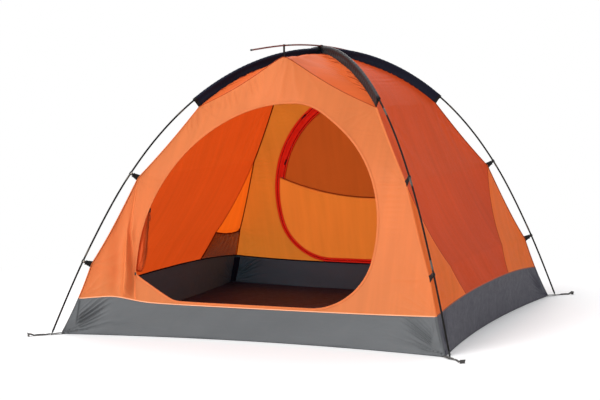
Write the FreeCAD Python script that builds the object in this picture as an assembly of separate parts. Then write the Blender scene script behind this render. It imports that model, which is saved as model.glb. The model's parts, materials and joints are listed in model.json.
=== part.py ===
import FreeCAD, Part
import math
import os

# Dome tent: two bent main poles cross over an inner tent that hangs from them, and a short ridge
# pole lies over the crossing. Millimetres. The origin is on the ground, at the middle of the
# floor; +Z is up, -Y is the front with the open doorway. An arm is one half of a main pole, from
# the crossing to its foot. The tent looks the same after half a turn about Z, door flap apart.

V = FreeCAD.Vector
Z_AXIS = V(0, 0, 1)
ORIGIN = V(0, 0, 0)
LEVEL = 1e-6

# ---------------------------------------------------------------- driving dimensions
BASE_WIDTH = 2000.0  # between the pole feet, along X
BASE_DEPTH = 2156.0  # between the pole feet, along Y
CROSSING_HEIGHT = 1396.0  # half way between the two main poles where they cross
FOOT_HEIGHT = 34.0  # where the last tube ends and its tip begins

MAIN_POLE_D = 9.0
RIDGE_POLE_D = 8.0
POLE_GAP = 0.6  # between poles that pass over each other
SECTION_BENDS = (22.4, 18.9, 14.2, 8.5, 2.7)  # degrees, tube sections from crossing to foot
CHORD_BEND = 9.5  # most degrees of bend that one straight run stands for

SKIN = 2.0  # fabric, with its seams and coating, as a stiff sheet
GROUNDSHEET_T = 2.0
SEAM_OFFSET = 47.0  # from a main pole's centre line in to the corner seam
SEWN_IN = 2.5  # how far a sleeve or tab reaches into the seam that holds it
CROWN_REACH = 60.0  # from the crossing to the corners of the crown patch
SLEEVE_END = 777.0  # along the pole from the crossing
SLEEVE_R = 8.0
SLEEVE_SLACK = 1.2  # round the pole, inside the sleeve
SLEEVE_NECK = 17.6  # from the pole's centre line to where the tunnel narrows to its tail
SLEEVE_TAIL_T = 2.4
SLEEVE_LEAN = 28.0  # degrees below its middle at which the tunnel turns in to the neck
SLEEVE_FACETS = 6
CLIP_STATIONS = (1274.0, 1770.0)  # along the pole from the crossing

TUB_HEIGHT = 172.0  # of the waterproof wall at the corners
TUB_END_MID = 158.0  # and along the flat part of the front and rear
TUB_SIDE_MID = 210.0  # and at the middle of the sides
FLOOR_BOW_FRONT = 104.0  # how far the floor's edges curve in between the corners
FLOOR_BOW_SIDE = 61.0
TUB_BOW_SIDE = 11.0
EDGE_RUNS = 8  # straight runs in one curved edge

WALL_FOOT_INSET = 148.0  # the end wall's plane goes through this line, in from the pole feet
WALL_FOOT_Z = 180.0
PEAK_INSET = 548.0  # and through the peak, in from the pole feet
PEAK_DROP = 45.0  # from the crossing down to the peak
PEAK_HALF = 15.0  # half the width of the peak and of the ridge
FLAT_INSET = ((172.0, 219.0), (760.0, 67.0), (1106.0, 117.0))  # height; flat part in from the seam

DOOR_BOTTOM = -8.0  # along the end wall's plane, from its foot line
DOOR_TOP_GAP = 106.0  # from the doorway's highest point to the peak
DOOR_BOTTOM_SHARE = 0.247  # of the doorway's height: its middle to the first corner
DOOR_ARCS = ((0.249, 80.8), (0.654, 65.2), (0.218, 36.8), (0.683, 87.2))  # radius share, turn in degrees
DOOR_SEWN_CORNER = 160.0  # radius of the corner below the sewn side
SEWN_SEAM_RISE = 150.0  # gusset seam: how far above the centre of the last arc it turns outwards
TAPE = 12.0  # width of zip tape each side of the chain
CHAIN_GAP = 3.0  # left between the two tapes for the chain
WINDOW_SEAM_R = 1320.0
WINDOW_SEAM_V = 397.0  # lowest point of the window's lower seam
WINDOW_BAND = 21.5  # extra band of tape round the window
WINDOW_TAPE = 8.0

GUSSET_LONG = (546.0, 351.0, 470.0)  # gusset seam: its foot in from the corner, then y in and z half way up
GUSSET_SHORT = (581.0, 461.0, 490.0)

RIDGE_LENGTH = 1880.0
RIDGE_SECTIONS = 4
RIDGE_CREST_Y = -220.0
RIDGE_FALL = 80.7  # from its crest to its rear end
CAP_WALL = 0.6
CAP_L = 12.0
RIDGE_STRAP_W = 12.0
WEBBING_T = 1.6
WEBBING_CLEAR = 0.2
TIE_HALF = 14.0  # inside half width of the tie round the crossing
ROD_SIDES = 16  # flats on a rod
ROUND_SIDES = 12  # flats on a small round piece

TIP_PIN_R = 2.6
TIP_PIN_END = 0.6  # clear of the ground
TIP_COLLAR = 0.4  # how far the tip's collar stands proud of the tube
TIP_CONE_L = 6.0
TIP_CONE_ABOVE = 4.0  # the cone's end, above the eyelet
TIP_CHAMFER = 1.0
EYELET_R = 4.6
EYELET_FLANGE_R = 8.6
EYELET_WALL = 1.3
STRAP_W = 25.0
STRAP_Z = 6.0  # middle of the corner strap, at the eyelet
STRAP_PAST_EYELET = 14.0
LOOP_GAP = 2.0  # fold line between the corner strap and its peg loop
LOOP_REACH = 122.0  # from the eyelet to the outer end of the peg loop
LOOP_HOLE = (24.0, 15.0)  # length and width of the hole for the peg
LOOP_W = 30.0
LOOP_T = 3.2
LOOP_TAB_H = 18.0
LOOP_DIP_L = 22.0  # along which it comes down to the ground from the fold
LOOP_CLEAR = 0.2  # above the ground

CLIP_W = 14.0
CLIP_WALL = 2.2
CLIP_CLEAR = 0.5
CLIP_MOUTH = 80.0  # degrees
CLIP_STEM = 9.0
CLIP_BAR_T = 3.5
CLIP_BAR_MORE = 2.0  # the clip's bar, past each edge of its tab
TAB_W_CLIP = 20.0
TAB_W_SEAM = 33.0

SLIDER_L = 14.0
SLIDER_W = 7.4
SLIDER_PLATE = 1.5
SLIDER_CLEAR = 0.5
BAIL_R = 1.0
BAIL_RISE = 3.8
BAIL_HALF = 2.6
BAIL_POST = 1.0
PULL_EYE_R = 2.7
PULL_CLEAR = 0.5
PULL_L = 24.0
PULL_W = 7.0
PULL_T = 1.4
PULL_NECK = 2.0  # from the eye to the wide part
DOOR_SLIDER_AT = 47.0  # degrees round the door's long side arc
WINDOW_SLIDER_AT = 22.0
FRONT_SLIDER_AT = 12.0  # degrees round the corner below the sewn side, from the sewn side

ROLL_FOOT = 140.0  # along the end wall, bottom and top of the rolled door
ROLL_TOP = 470.0
ROLL_R = 23.0
ROLL_TIED_R = 10.0
ROLL_FOLDS = 10
ROLL_SWELL = ((0.0, 0.72), (0.12, 1.0), (0.55, 0.86), (1.0, 0.62))  # share of length, share of radius
ROLL_CLEAR = 9.0
ROLL_TIE_V = 448.0
TIE_CORD = 2.6
TOGGLE_R = 3.5
TOGGLE_L = 22.0

POCKET_Y = (540.0, 885.0)
POCKET_TOP = 318.0
POCKET_BOTTOM = 205.0
POCKET_DEPTH = 36.0
POCKET_T = 1.5
POCKET_SEWN = 0.6

# ---------------------------------------------------------------- plan and poles
PLAN_ANGLE = math.degrees(math.atan2(BASE_DEPTH, BASE_WIDTH))
HALF_DIAGONAL = math.hypot(BASE_WIDTH, BASE_DEPTH) / 2
ARMS = {
    "front_left": 180 + PLAN_ANGLE,
    "front_right": -PLAN_ANGLE,
    "rear_right": PLAN_ANGLE,
    "rear_left": 180 - PLAN_ANGLE,
}
POLE_STEP = MAIN_POLE_D + POLE_GAP
UNDER_HEIGHT = CROSSING_HEIGHT - POLE_STEP / 2
OVER_HEIGHT = CROSSING_HEIGHT + POLE_STEP / 2
RIDGE_DROP = RIDGE_FALL / (RIDGE_LENGTH / 2 - RIDGE_CREST_Y) ** 2
RIDGE_OVER_POLE = (MAIN_POLE_D + RIDGE_POLE_D) / 2 + POLE_GAP
RIDGE_CREST_Z = OVER_HEIGHT + RIDGE_OVER_POLE + RIDGE_DROP * RIDGE_CREST_Y**2


def half_pole(bend_scale, height):
    """Stations of half a pole for tube sections of length 1: (along, out, z, heading, end of section)."""
    along, out, z, heading = 0.0, 0.0, height, 0.0
    stations = [(along, out, z, heading, True)]
    for bend in SECTION_BENDS:
        chords = math.ceil(bend / CHORD_BEND)
        turn = math.radians(bend * bend_scale / chords)
        for chord in range(chords):
            middle = heading + turn / 2
            along += 1.0 / chords
            out += math.cos(middle) / chords
            z -= math.sin(middle) / chords
            heading += turn
            stations.append((along, out, z, heading, chord == chords - 1))
    return stations


def bent_pole(height):
    """Stations in millimetres of the arm that starts at this height and ends over its foot."""
    drop = height - FOOT_HEIGHT
    low, high = 0.3, 1.9
    for _ in range(50):
        scale = (low + high) / 2
        end = half_pole(scale, 0.0)[-1]
        if -end[2] / end[1] < drop / HALF_DIAGONAL:
            low = scale
        else:
            high = scale
    unit = half_pole(scale, 0.0)
    size = HALF_DIAGONAL / unit[-1][1]
    return [(s * size, o * size, height + z * size, h, e) for s, o, z, h, e in unit]


MEAN_POLE = bent_pole(CROSSING_HEIGHT)
POLE_OF = {arm: bent_pole(OVER_HEIGHT) for arm in ("front_right", "rear_left")}
POLE_OF.update({arm: bent_pole(UNDER_HEIGHT) for arm in ("front_left", "rear_right")})


def at(stations, along):
    """Out, z and heading at a length along a pole."""
    for a, b in zip(stations, stations[1:]):
        if along <= b[0] or b is stations[-1]:
            share = (along - a[0]) / (b[0] - a[0])
            return tuple(p + (q - p) * share for p, q in zip(a[1:4], b[1:4]))


def chord_heading(stations, along):
    a = at(stations, along - 1.0)
    b = at(stations, along + 1.0)
    return math.atan2(a[1] - b[1], b[0] - a[0])


def seam(along):
    """Out and z of the corner seam under the mean pole."""
    out, z, heading = at(MEAN_POLE, along)
    return out - SEAM_OFFSET * math.sin(heading), z - SEAM_OFFSET * math.cos(heading)


def seam_at_height(height):
    low, high = SLEEVE_END, MEAN_POLE[-1][0] * 1.1
    for _ in range(50):
        middle = (low + high) / 2
        if seam(middle)[1] > height:
            low = middle
        else:
            high = middle
    return low


TUB_ALONG = seam_at_height(TUB_HEIGHT)
FLOOR_ALONG = seam_at_height(GROUNDSHEET_T)


def corner(along):
    """The seam point of the right rear arm, in the plan."""
    out, z = seam(along)
    angle = math.radians(PLAN_ANGLE)
    return V(out * math.cos(angle), out * math.sin(angle), z)


def placed(shape, arm):
    """A shape drawn with X out along the arm and Y across it, turned to that arm."""
    turned = shape.copy()
    turned.rotate(ORIGIN, Z_AXIS, ARMS[arm])
    return turned


def half_turn(shape):
    turned = shape.copy()
    turned.rotate(ORIGIN, Z_AXIS, 180)
    return turned


def ring_points(centre, direction, radius, sides):
    """Corners of a regular ring square to a direction, starting across the tent's vertical planes."""
    across = Z_AXIS.cross(direction)
    across = V(0, 1, 0) if across.Length < LEVEL else across.normalize()
    other = direction.cross(across).normalize()
    points = []
    for i in range(sides + 1):
        angle = 2 * math.pi * i / sides
        points.append(centre + across * (radius * math.cos(angle)) + other * (radius * math.sin(angle)))
    return points


def round_bar(radius, length, start, direction, sides=ROUND_SIDES):
    ring = Part.makePolygon(ring_points(start, direction, radius, sides))
    return Part.Face(ring).extrude(direction * length)


def rod(stations, radius):
    """A bent rod through rings square to it at each station (point, direction)."""
    wires = [Part.makePolygon(ring_points(p, d, radius, ROD_SIDES)) for p, d in stations]
    return Part.makeLoft(wires, True, True)


def turned(profile, sides=ROUND_SIDES):
    """A piece turned about Z from its profile of (radius, height) points, with few flats."""
    rings = [Part.makePolygon(ring_points(V(0, 0, z), Z_AXIS, r, sides)) for r, z in profile]
    return Part.makeLoft(rings, True, True)


def arm_sections(stations):
    """The tube sections of one arm, each a rod, in the arm's own plane."""
    rods = []
    run = []
    for _, out, z, heading, section_end in stations:
        run.append((V(out, 0, z), V(math.cos(heading), 0, -math.sin(heading))))
        if section_end and len(run) > 1:
            rods.append(rod(run, MAIN_POLE_D / 2))
            run = [run[-1]]
    return rods


def main_pole(*arms):
    return Part.makeCompound([placed(r, arm) for arm in arms for r in arm_sections(POLE_OF[arm])])


def ridge_joint(i):
    """Where ridge section i starts."""
    y = RIDGE_LENGTH * (i / RIDGE_SECTIONS - 0.5)
    return V(0, y, RIDGE_CREST_Z - RIDGE_DROP * (y - RIDGE_CREST_Y) ** 2)


def ridge_at(y):
    """The point of the ridge pole's centre line over y, and the direction of its section."""
    i = min(int((y / RIDGE_LENGTH + 0.5) * RIDGE_SECTIONS), RIDGE_SECTIONS - 1)
    a, b = ridge_joint(i), ridge_joint(i + 1)
    return a + (b - a) * ((y - a.y) / (b.y - a.y)), (b - a).normalize()


def ridge_pole():
    rods = []
    for i in range(RIDGE_SECTIONS):
        a, b = ridge_joint(i), ridge_joint(i + 1)
        rods.append(round_bar(RIDGE_POLE_D / 2, (b - a).Length, a, (b - a).normalize(), ROD_SIDES))
    return Part.makeCompound(rods)


def ridge_caps():
    """Plugs on the ends of the ridge pole."""
    caps = []
    radius = RIDGE_POLE_D / 2
    for end in (-1, 1):
        point, direction = ridge_at(end * RIDGE_LENGTH / 2)
        direction = direction * end
        caps.append(round_bar(radius + CAP_WALL, CAP_L, point, direction, ROD_SIDES))
    return Part.makeCompound(caps)


# ---------------------------------------------------------------- skins
SHRINK_CENTRE = V(0, 0, GROUNDSHEET_T)
WALL_FOOT_Y = BASE_DEPTH / 2 - WALL_FOOT_INSET
PEAK_Y = BASE_DEPTH / 2 - PEAK_INSET
PEAK_Z = CROSSING_HEIGHT - PEAK_DROP
WALL_SLOPE = V(0, WALL_FOOT_Y - PEAK_Y, PEAK_Z - WALL_FOOT_Z)
WALL_UP = WALL_SLOPE / WALL_SLOPE.Length
WALL_OUT = V(0, -WALL_UP.z, WALL_UP.y)
WALL_ORIGIN = V(0, -WALL_FOOT_Y, WALL_FOOT_Z)
SHRINK = SKIN / (WALL_ORIGIN - SHRINK_CENTRE).dot(WALL_OUT)


def inward(point):
    """The inner face is the outer one shrunk towards the floor, so neighbours share their edges."""
    return SHRINK_CENTRE + (point - SHRINK_CENTRE) * (1 - SHRINK)


def facet(*points):
    return Part.Face(Part.makePolygon(list(points) + [points[0]]))


def closed_solid(faces):
    solid = Part.Solid(Part.Shell(faces))
    if solid.Volume < 0:
        solid.reverse()
    return solid


def skin(rows):
    """A sheet of flat facets through rows of points on its outer face."""
    faces = []
    inner = [[inward(p) for p in row] for row in rows]
    for grid in (rows, inner):
        for low, high in zip(grid, grid[1:]):
            for i in range(len(low) - 1):
                faces.append(facet(low[i], low[i + 1], high[i + 1]))
                faces.append(facet(low[i], high[i + 1], high[i]))
    border = rows[0] + [row[-1] for row in rows[1:-1]] + rows[-1][::-1] + [row[0] for row in rows[-2:0:-1]]
    for p, q in zip(border, border[1:] + border[:1]):
        faces.append(facet(p, q, inward(q), inward(p)))
    return closed_solid(faces).removeSplitter()


def mirrored(point, across_x, across_y):
    return V(point.x * across_x, point.y * across_y, point.z)


def bowed(a, b, bow, lift=0.0):
    """Points from a to b on a parabola that curves towards the middle of the tent by bow."""
    middle = (a + b) / 2
    inwards = V(-middle.x, -middle.y, 0).normalize()
    points = []
    for i in range(EDGE_RUNS + 1):
        t = i / EDGE_RUNS
        rise = 4 * t * (1 - t)
        points.append(a + (b - a) * t + inwards * (bow * rise) + Z_AXIS * (lift * rise))
    return points


def wall_y(z):
    """How far out the end wall's plane is at a height."""
    return WALL_FOOT_Y - (z - WALL_FOOT_Z) * WALL_UP.y / WALL_UP.z


def side_bow(b):
    """How far the side wall curves in at the height of a corner point; nothing at the crown."""
    crown = corner(CROWN_REACH).y
    return TUB_BOW_SIDE * (b.y - crown) / (corner(TUB_ALONG).y - crown)


def side_row(along):
    """A level row of the right side wall."""
    b = corner(along)
    return bowed(mirrored(b, 1, -1), b, side_bow(b))


def tub_top_side():
    b = corner(TUB_ALONG)
    return bowed(mirrored(b, 1, -1), b, TUB_BOW_SIDE, TUB_SIDE_MID - TUB_HEIGHT)


def flat_half(z):
    """Half the width of the end wall's flat part at a height below the sleeve's end."""
    for (z0, inset0), (z1, inset1) in zip(FLAT_INSET, FLAT_INSET[1:]):
        if z <= z1 or z1 == FLAT_INSET[-1][0]:
            inset = inset0 + (inset1 - inset0) * (z - z0) / (z1 - z0)
            return corner(seam_at_height(z)).x - inset


def front_row(left, half, z, runs=1):
    """A row of the front wall: its left corner, the flat part at height z, its right corner."""
    flat = [V(half * (2 * i / runs - 1), -wall_y(z), z) for i in range(runs + 1)]
    return [left] + flat + [mirrored(left, -1, 1)]


def tub_top_front(runs=1):
    return front_row(mirrored(corner(TUB_ALONG), -1, -1), flat_half(TUB_HEIGHT), TUB_END_MID, runs)


def floor_edges():
    b = corner(FLOOR_ALONG)
    right = bowed(mirrored(b, 1, -1), b, FLOOR_BOW_SIDE)
    front = bowed(mirrored(b, -1, -1), mirrored(b, 1, -1), FLOOR_BOW_FRONT)
    return front, right


def groundsheet():
    front, right = floor_edges()
    rear = [mirrored(p, -1, -1) for p in front]
    left = [mirrored(p, -1, -1) for p in right]
    outline = front[:-1] + right[:-1] + rear[:-1] + left
    return Part.Face(Part.makePolygon(outline)).extrude(V(0, 0, -GROUNDSHEET_T))


def tub_front():
    return skin([floor_edges()[0], tub_top_front(EDGE_RUNS - 2)])


def tub_side():
    return skin([floor_edges()[1], tub_top_side()])


def wall_alongs():
    """Where the walls have a row, from the lower clip up to the sleeve's end."""
    first, second = CLIP_STATIONS
    return [second, (first + second) / 2, first, (first + SLEEVE_END) / 2, SLEEVE_END]


def crown_alongs():
    rows = 4
    return [SLEEVE_END + (CROWN_REACH - SLEEVE_END) * i / rows for i in range(rows + 1)]


def side_wall():
    lower = skin([tub_top_side()] + [side_row(a) for a in wall_alongs()])
    return lower.fuse(skin([side_row(a) for a in crown_alongs()])).removeSplitter()


def front_wall():
    """The whole front wall, with no doorway yet."""
    rows = [tub_top_front()]
    for along in wall_alongs():
        left = mirrored(corner(along), -1, -1)
        rows.append(front_row(left, flat_half(left.z), left.z))
    peak = V(-PEAK_HALF, -PEAK_Y, PEAK_Z)
    half_way = (rows[-1][0] + peak) / 2
    top_half = PEAK_HALF / 2
    middle_half = (flat_half(rows[-1][0].z) + top_half) / 2
    upper = [
        rows[-1],
        front_row(half_way, middle_half, half_way.z),
        front_row(peak, top_half, PEAK_Z),
    ]
    return skin(rows).fuse(skin(upper)).removeSplitter()


def roof_front():
    """From one front sleeve over the ridge to the other, with the peak at its front edge."""
    alongs = crown_alongs()
    crown = mirrored(corner(alongs[-1]), -1, -1)
    rows = []
    for i, along in enumerate(alongs):
        left = mirrored(corner(along), -1, -1)
        share = i / (len(alongs) - 1)
        y = -PEAK_Y + (crown.y + PEAK_Y) * share
        z = PEAK_Z + (crown.z - PEAK_Z) * share
        rows.append([left, V(-PEAK_HALF, y, z), V(PEAK_HALF, y, z), mirrored(left, -1, 1)])
    return skin(rows)


def crown_patch():
    a = corner(CROWN_REACH)
    rows = [[mirrored(a, -1, y), mirrored(a, 1, y)] for y in (-1, 1)]
    return skin(rows)


# ---------------------------------------------------------------- doors
WALL_FRAME = FreeCAD.Placement(WALL_ORIGIN, FreeCAD.Rotation(V(1, 0, 0), WALL_UP, WALL_OUT, "XYZ"))


def on_wall(shape):
    """A shape drawn flat (X across, Y up the wall, Z out of it), set on the front wall."""
    set_on = shape.copy()
    set_on.transformShape(WALL_FRAME.toMatrix())
    return set_on


def door_arcs():
    """Centre, radius, first and last direction from the centre (degrees) of each outline arc."""
    arcs = []
    height = WALL_SLOPE.Length - DOOR_TOP_GAP - DOOR_BOTTOM
    u, v = DOOR_BOTTOM_SHARE * height, DOOR_BOTTOM
    facing = -90.0
    for share, turn in DOOR_ARCS:
        radius = share * height
        c = (u - radius * math.cos(math.radians(facing)), v - radius * math.sin(math.radians(facing)))
        arcs.append((c, radius, facing, facing + turn))
        facing += turn
        u = c[0] + radius * math.cos(math.radians(facing))
        v = c[1] + radius * math.sin(math.radians(facing))
    c = (u + DOOR_SEWN_CORNER, DOOR_BOTTOM + DOOR_SEWN_CORNER)
    arcs.append((c, DOOR_SEWN_CORNER, 180.0, 270.0))
    return arcs


DOOR = door_arcs()
LONG_SIDE_ARC = DOOR[1]
SEWN_CORNER_ARC = DOOR[-1]
SEWN_U = SEWN_CORNER_ARC[0][0] - DOOR_SEWN_CORNER
SEWN_SEAM_TOP = DOOR[3][0][1] + SEWN_SEAM_RISE
WALL_TAPE_EDGE = CHAIN_GAP / 2
WINDOW_GAP_OUTER = TAPE + WINDOW_BAND
WINDOW_GAP_INNER = WINDOW_GAP_OUTER + CHAIN_GAP


def round_point(arc, degrees, grow=0.0):
    (u, v), radius, _, _ = arc
    angle = math.radians(degrees)
    return V(u + (radius + grow) * math.cos(angle), v + (radius + grow) * math.sin(angle), 0)


def door_outline(grow):
    """The doorway's outline, moved outwards by grow."""
    edges = []
    last = None
    for arc in DOOR:
        first, middle, end = (round_point(arc, d, grow) for d in (arc[2], (arc[2] + arc[3]) / 2, arc[3]))
        if last is not None and last.distanceToPoint(first) > LEVEL:
            edges.append(Part.makeLine(last, first))
        edges.append(Part.Arc(first, middle, end).toShape())
        last = end
    edges.append(Part.makeLine(last, round_point(DOOR[0], DOOR[0][2], grow)))
    return Part.Wire(edges)


def door_slab(grow, low, high):
    """The area inside the outline as a flat slab between two distances out of the wall."""
    face = Part.Face(door_outline(grow))
    face.translate(V(0, 0, low))
    return face.extrude(V(0, 0, high - low))


def door_ring(outer, inner):
    return door_slab(outer, -SKIN, 0).cut(door_slab(inner, -2 * SKIN, SKIN))


def window_disc():
    centre = V(0, WINDOW_SEAM_V + WINDOW_SEAM_R, -2 * SKIN)
    return Part.makeCylinder(WINDOW_SEAM_R, 4 * SKIN, centre)


def doorway_cut():
    """Deep enough to reach the wall where it bends away from its plane, but not the far wall."""
    deep = WALL_FOOT_INSET
    return on_wall(door_slab(TAPE, -deep, deep))


def gusset_side():
    """The space left of the seam from the lower end of the upper clip's tab down past the door."""
    top = mirrored(corner(CLIP_STATIONS[0]), -1, -1)
    seam_x = SEWN_U - TAPE
    seam_top = WALL_ORIGIN + WALL_UP * SEWN_SEAM_TOP
    outside = -BASE_WIDTH
    outline = [
        V(outside, 0, 0),
        V(seam_x, 0, 0),
        V(seam_x, 0, seam_top.z),
        V(top.x, 0, top.z),
        V(outside, 0, top.z),
        V(outside, 0, 0),
    ]
    return Part.Face(Part.makePolygon(outline)).extrude(V(0, -BASE_DEPTH, 0))


def wall_tape():
    return on_wall(door_ring(TAPE, WALL_TAPE_EDGE))


def door_tape():
    """The door's own tape, with the wider band round the window above the window's seam."""
    band = door_ring(-TAPE, -WINDOW_GAP_OUTER).common(window_disc())
    return on_wall(door_ring(-WALL_TAPE_EDGE, -TAPE).fuse(band))


def window_tape():
    ring = door_ring(-WINDOW_GAP_INNER, -WINDOW_GAP_INNER - WINDOW_TAPE)
    return on_wall(ring.common(window_disc()))


def door_window():
    inside = door_slab(-WINDOW_GAP_INNER - WINDOW_TAPE, -SKIN, 0)
    return on_wall(inside.common(window_disc()))


def door_panel():
    return on_wall(door_slab(-TAPE, -SKIN, 0).cut(window_disc()))


ROLL_N = -(SKIN + ROLL_CLEAR + ROLL_R)
TIE_R = (ROLL_TIED_R + WEBBING_CLEAR) / math.cos(math.pi / ROUND_SIDES)


def rolled_door():
    """The front door, rolled to its sewn side and tied; it hangs inside the opening's edge."""
    tied = (ROLL_TIE_V - ROLL_FOOT) / (ROLL_TOP - ROLL_FOOT)
    rings = []
    for share, swell in sorted(ROLL_SWELL + ((tied, ROLL_TIED_R / ROLL_R),)):
        centre = V(SEWN_U, ROLL_FOOT + (ROLL_TOP - ROLL_FOOT) * share, ROLL_N)
        rings.append(ring_points(centre, V(0, 1, 0), ROLL_R * swell, ROLL_FOLDS))
    faces = [Part.Face(Part.makePolygon(ring)) for ring in (rings[0], rings[-1])]
    for low, high in zip(rings, rings[1:]):
        for i in range(ROLL_FOLDS):
            faces.append(facet(low[i], low[i + 1], high[i + 1], high[i]))
    return on_wall(closed_solid(faces))


def roll_tie():
    """An elastic loop round the roll."""
    low = V(SEWN_U, ROLL_TIE_V - TIE_CORD / 2, ROLL_N)
    up = V(0, 1, 0)
    band = round_bar(TIE_R + TIE_CORD, TIE_CORD, low, up)
    return on_wall(band.cut(round_bar(TIE_R, TIE_CORD, low, up)))


def roll_toggle():
    low = V(SEWN_U + TIE_R + TIE_CORD + TOGGLE_R, ROLL_TIE_V - TOGGLE_L / 2, ROLL_N)
    return on_wall(round_bar(TOGGLE_R, TOGGLE_L, low, V(0, 1, 0)))


def slider_frame(arc, degrees, grow):
    """Where a slider sits: X along the chain, Y across it and outwards, Z out of the wall."""
    angle = math.radians(degrees)
    across = V(math.cos(angle), math.sin(angle), 0)
    along = V(math.sin(angle), -math.cos(angle), 0)
    rotation = FreeCAD.Rotation(along, across, V(0, 0, 1), "XYZ")
    return FreeCAD.Placement(round_point(arc, degrees, grow), rotation)


SLIDER_WEB = CHAIN_GAP - 2 * SLIDER_CLEAR
BAIL_Z = -(SKIN + SLIDER_CLEAR + SLIDER_PLATE + BAIL_RISE)


def zip_slider(arc, degrees, grow):
    """Two plates round the edge of the wall-side tape, joined in the chain's gap, and a bail."""
    low = -SLIDER_WEB / 2
    plates = []
    for bottom in (SLIDER_CLEAR, -SKIN - SLIDER_CLEAR - SLIDER_PLATE):
        plate = Part.makeBox(SLIDER_L, SLIDER_W, SLIDER_PLATE, V(-SLIDER_L / 2, low, bottom))
        plates.append(plate)
    height = SKIN + 2 * (SLIDER_CLEAR + SLIDER_PLATE)
    web_foot = V(-SLIDER_L / 2, low, SLIDER_CLEAR + SLIDER_PLATE - height)
    web = Part.makeBox(SLIDER_L, SLIDER_WEB, height, web_foot)
    middle = low + SLIDER_W / 2
    bar = round_bar(BAIL_R, 2 * BAIL_HALF, V(0, middle - BAIL_HALF, BAIL_Z), V(0, 1, 0))
    posts = []
    for start in (middle - BAIL_HALF - BAIL_POST, middle + BAIL_HALF):
        foot = V(-BAIL_R, start, BAIL_Z - BAIL_R)
        posts.append(Part.makeBox(2 * BAIL_R, BAIL_POST, BAIL_RISE + BAIL_R, foot))
    body = plates[0].multiFuse([plates[1], web, bar] + posts).removeSplitter()
    body.transformShape(slider_frame(arc, degrees, grow).toMatrix())
    return on_wall(body)


def bail_axis(arc, degrees, grow):
    """A point on the bail's bar and its direction, on the front wall."""
    frame = slider_frame(arc, degrees, grow)
    middle = -SLIDER_WEB / 2 + SLIDER_W / 2
    point = WALL_FRAME.multVec(frame.multVec(V(0, middle, BAIL_Z)))
    across = WALL_FRAME.Rotation.multVec(frame.Rotation.multVec(V(0, 1, 0)))
    return point, across


def zip_pull(arc, degrees, grow):
    """A tab with an eye round the bail, hanging down."""
    point, across = bail_axis(arc, degrees, grow)
    down = (-Z_AXIS + across * Z_AXIS.dot(across)).normalize()
    eye_w = 2 * (BAIL_HALF - PULL_CLEAR)
    wide_from = PULL_EYE_R + PULL_NECK
    sideways = V(0, 1, 0)
    eye = round_bar(PULL_EYE_R, eye_w, V(0, -eye_w / 2, 0), sideways)
    neck = Part.makeBox(wide_from, eye_w, PULL_T, V(0, -eye_w / 2, -PULL_T / 2))
    tab = Part.makeBox(PULL_L - wide_from, PULL_W, PULL_T, V(wide_from, -PULL_W / 2, -PULL_T / 2))
    hole = round_bar(BAIL_R + PULL_CLEAR, PULL_W, V(0, -PULL_W / 2, 0), sideways)
    pull = eye.multiFuse([neck, tab]).removeSplitter().cut(hole)
    rotation = FreeCAD.Rotation(down, across, down.cross(across), "XYZ")
    pull.transformShape(FreeCAD.Placement(point, rotation).toMatrix())
    return pull


# ---------------------------------------------------------------- side panels and pocket
def gusset_cut(insets, sign):
    """The space beyond the gusset's seam towards the front (-1) or rear (1) corner, across X."""
    foot_inset, mid_inset, mid_z = insets
    top = corner(CLIP_STATIONS[0])
    foot_y = corner(TUB_ALONG).y - foot_inset
    mid_y = corner(TUB_ALONG).y - mid_inset
    foot = V(0, sign * foot_y, TUB_HEIGHT)
    arc = Part.Arc(V(0, sign * top.y, top.z), V(0, sign * mid_y, mid_z), foot).toShape()
    below = [V(0, sign * foot_y, 0), V(0, sign * BASE_DEPTH, 0), V(0, sign * BASE_DEPTH, top.z)]
    lines = Part.makePolygon([foot] + below + [V(0, sign * top.y, top.z)]).Edges
    return Part.Face(Part.Wire([arc] + lines)).extrude(V(BASE_WIDTH, 0, 0))


def left_wall_inside(y, z):
    """A point on the inner face of the left side wall."""
    edge = corner(seam_at_height(z))
    share = (y / edge.y + 1) / 2
    return V(-edge.x + side_bow(edge) * 4 * share * (1 - share) + SKIN, y, z)


def mesh_pocket():
    """An open-topped wedge of mesh on the inside of the left wall, towards the rear."""
    wedge, hollow = [], []
    for y, into in ((POCKET_Y[0], POCKET_T), (POCKET_Y[1], -POCKET_T)):
        b = left_wall_inside(y, POCKET_BOTTOM)
        t = left_wall_inside(y, POCKET_TOP)
        sewn = V(-POCKET_SEWN, 0, 0)
        front = t + V(POCKET_DEPTH, 0, 0)
        wedge.append(Part.makePolygon([b + sewn, t + sewn, front, b + V(POCKET_T, 0, 0), b + sewn]))
        step = V(0, into, 0)
        top = V(0, 0, POCKET_T)
        behind = V(-POCKET_DEPTH, 0, 0)
        low = b + V(0, 0, 2 * POCKET_T) + step
        lip = front + top + step - V(POCKET_T, 0, 0)
        hollow.append(Part.makePolygon([low + behind, t + top + step + behind, lip, low, low + behind]))
    return Part.makeLoft(wedge, True, True).cut(Part.makeLoft(hollow, True, True))


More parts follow.
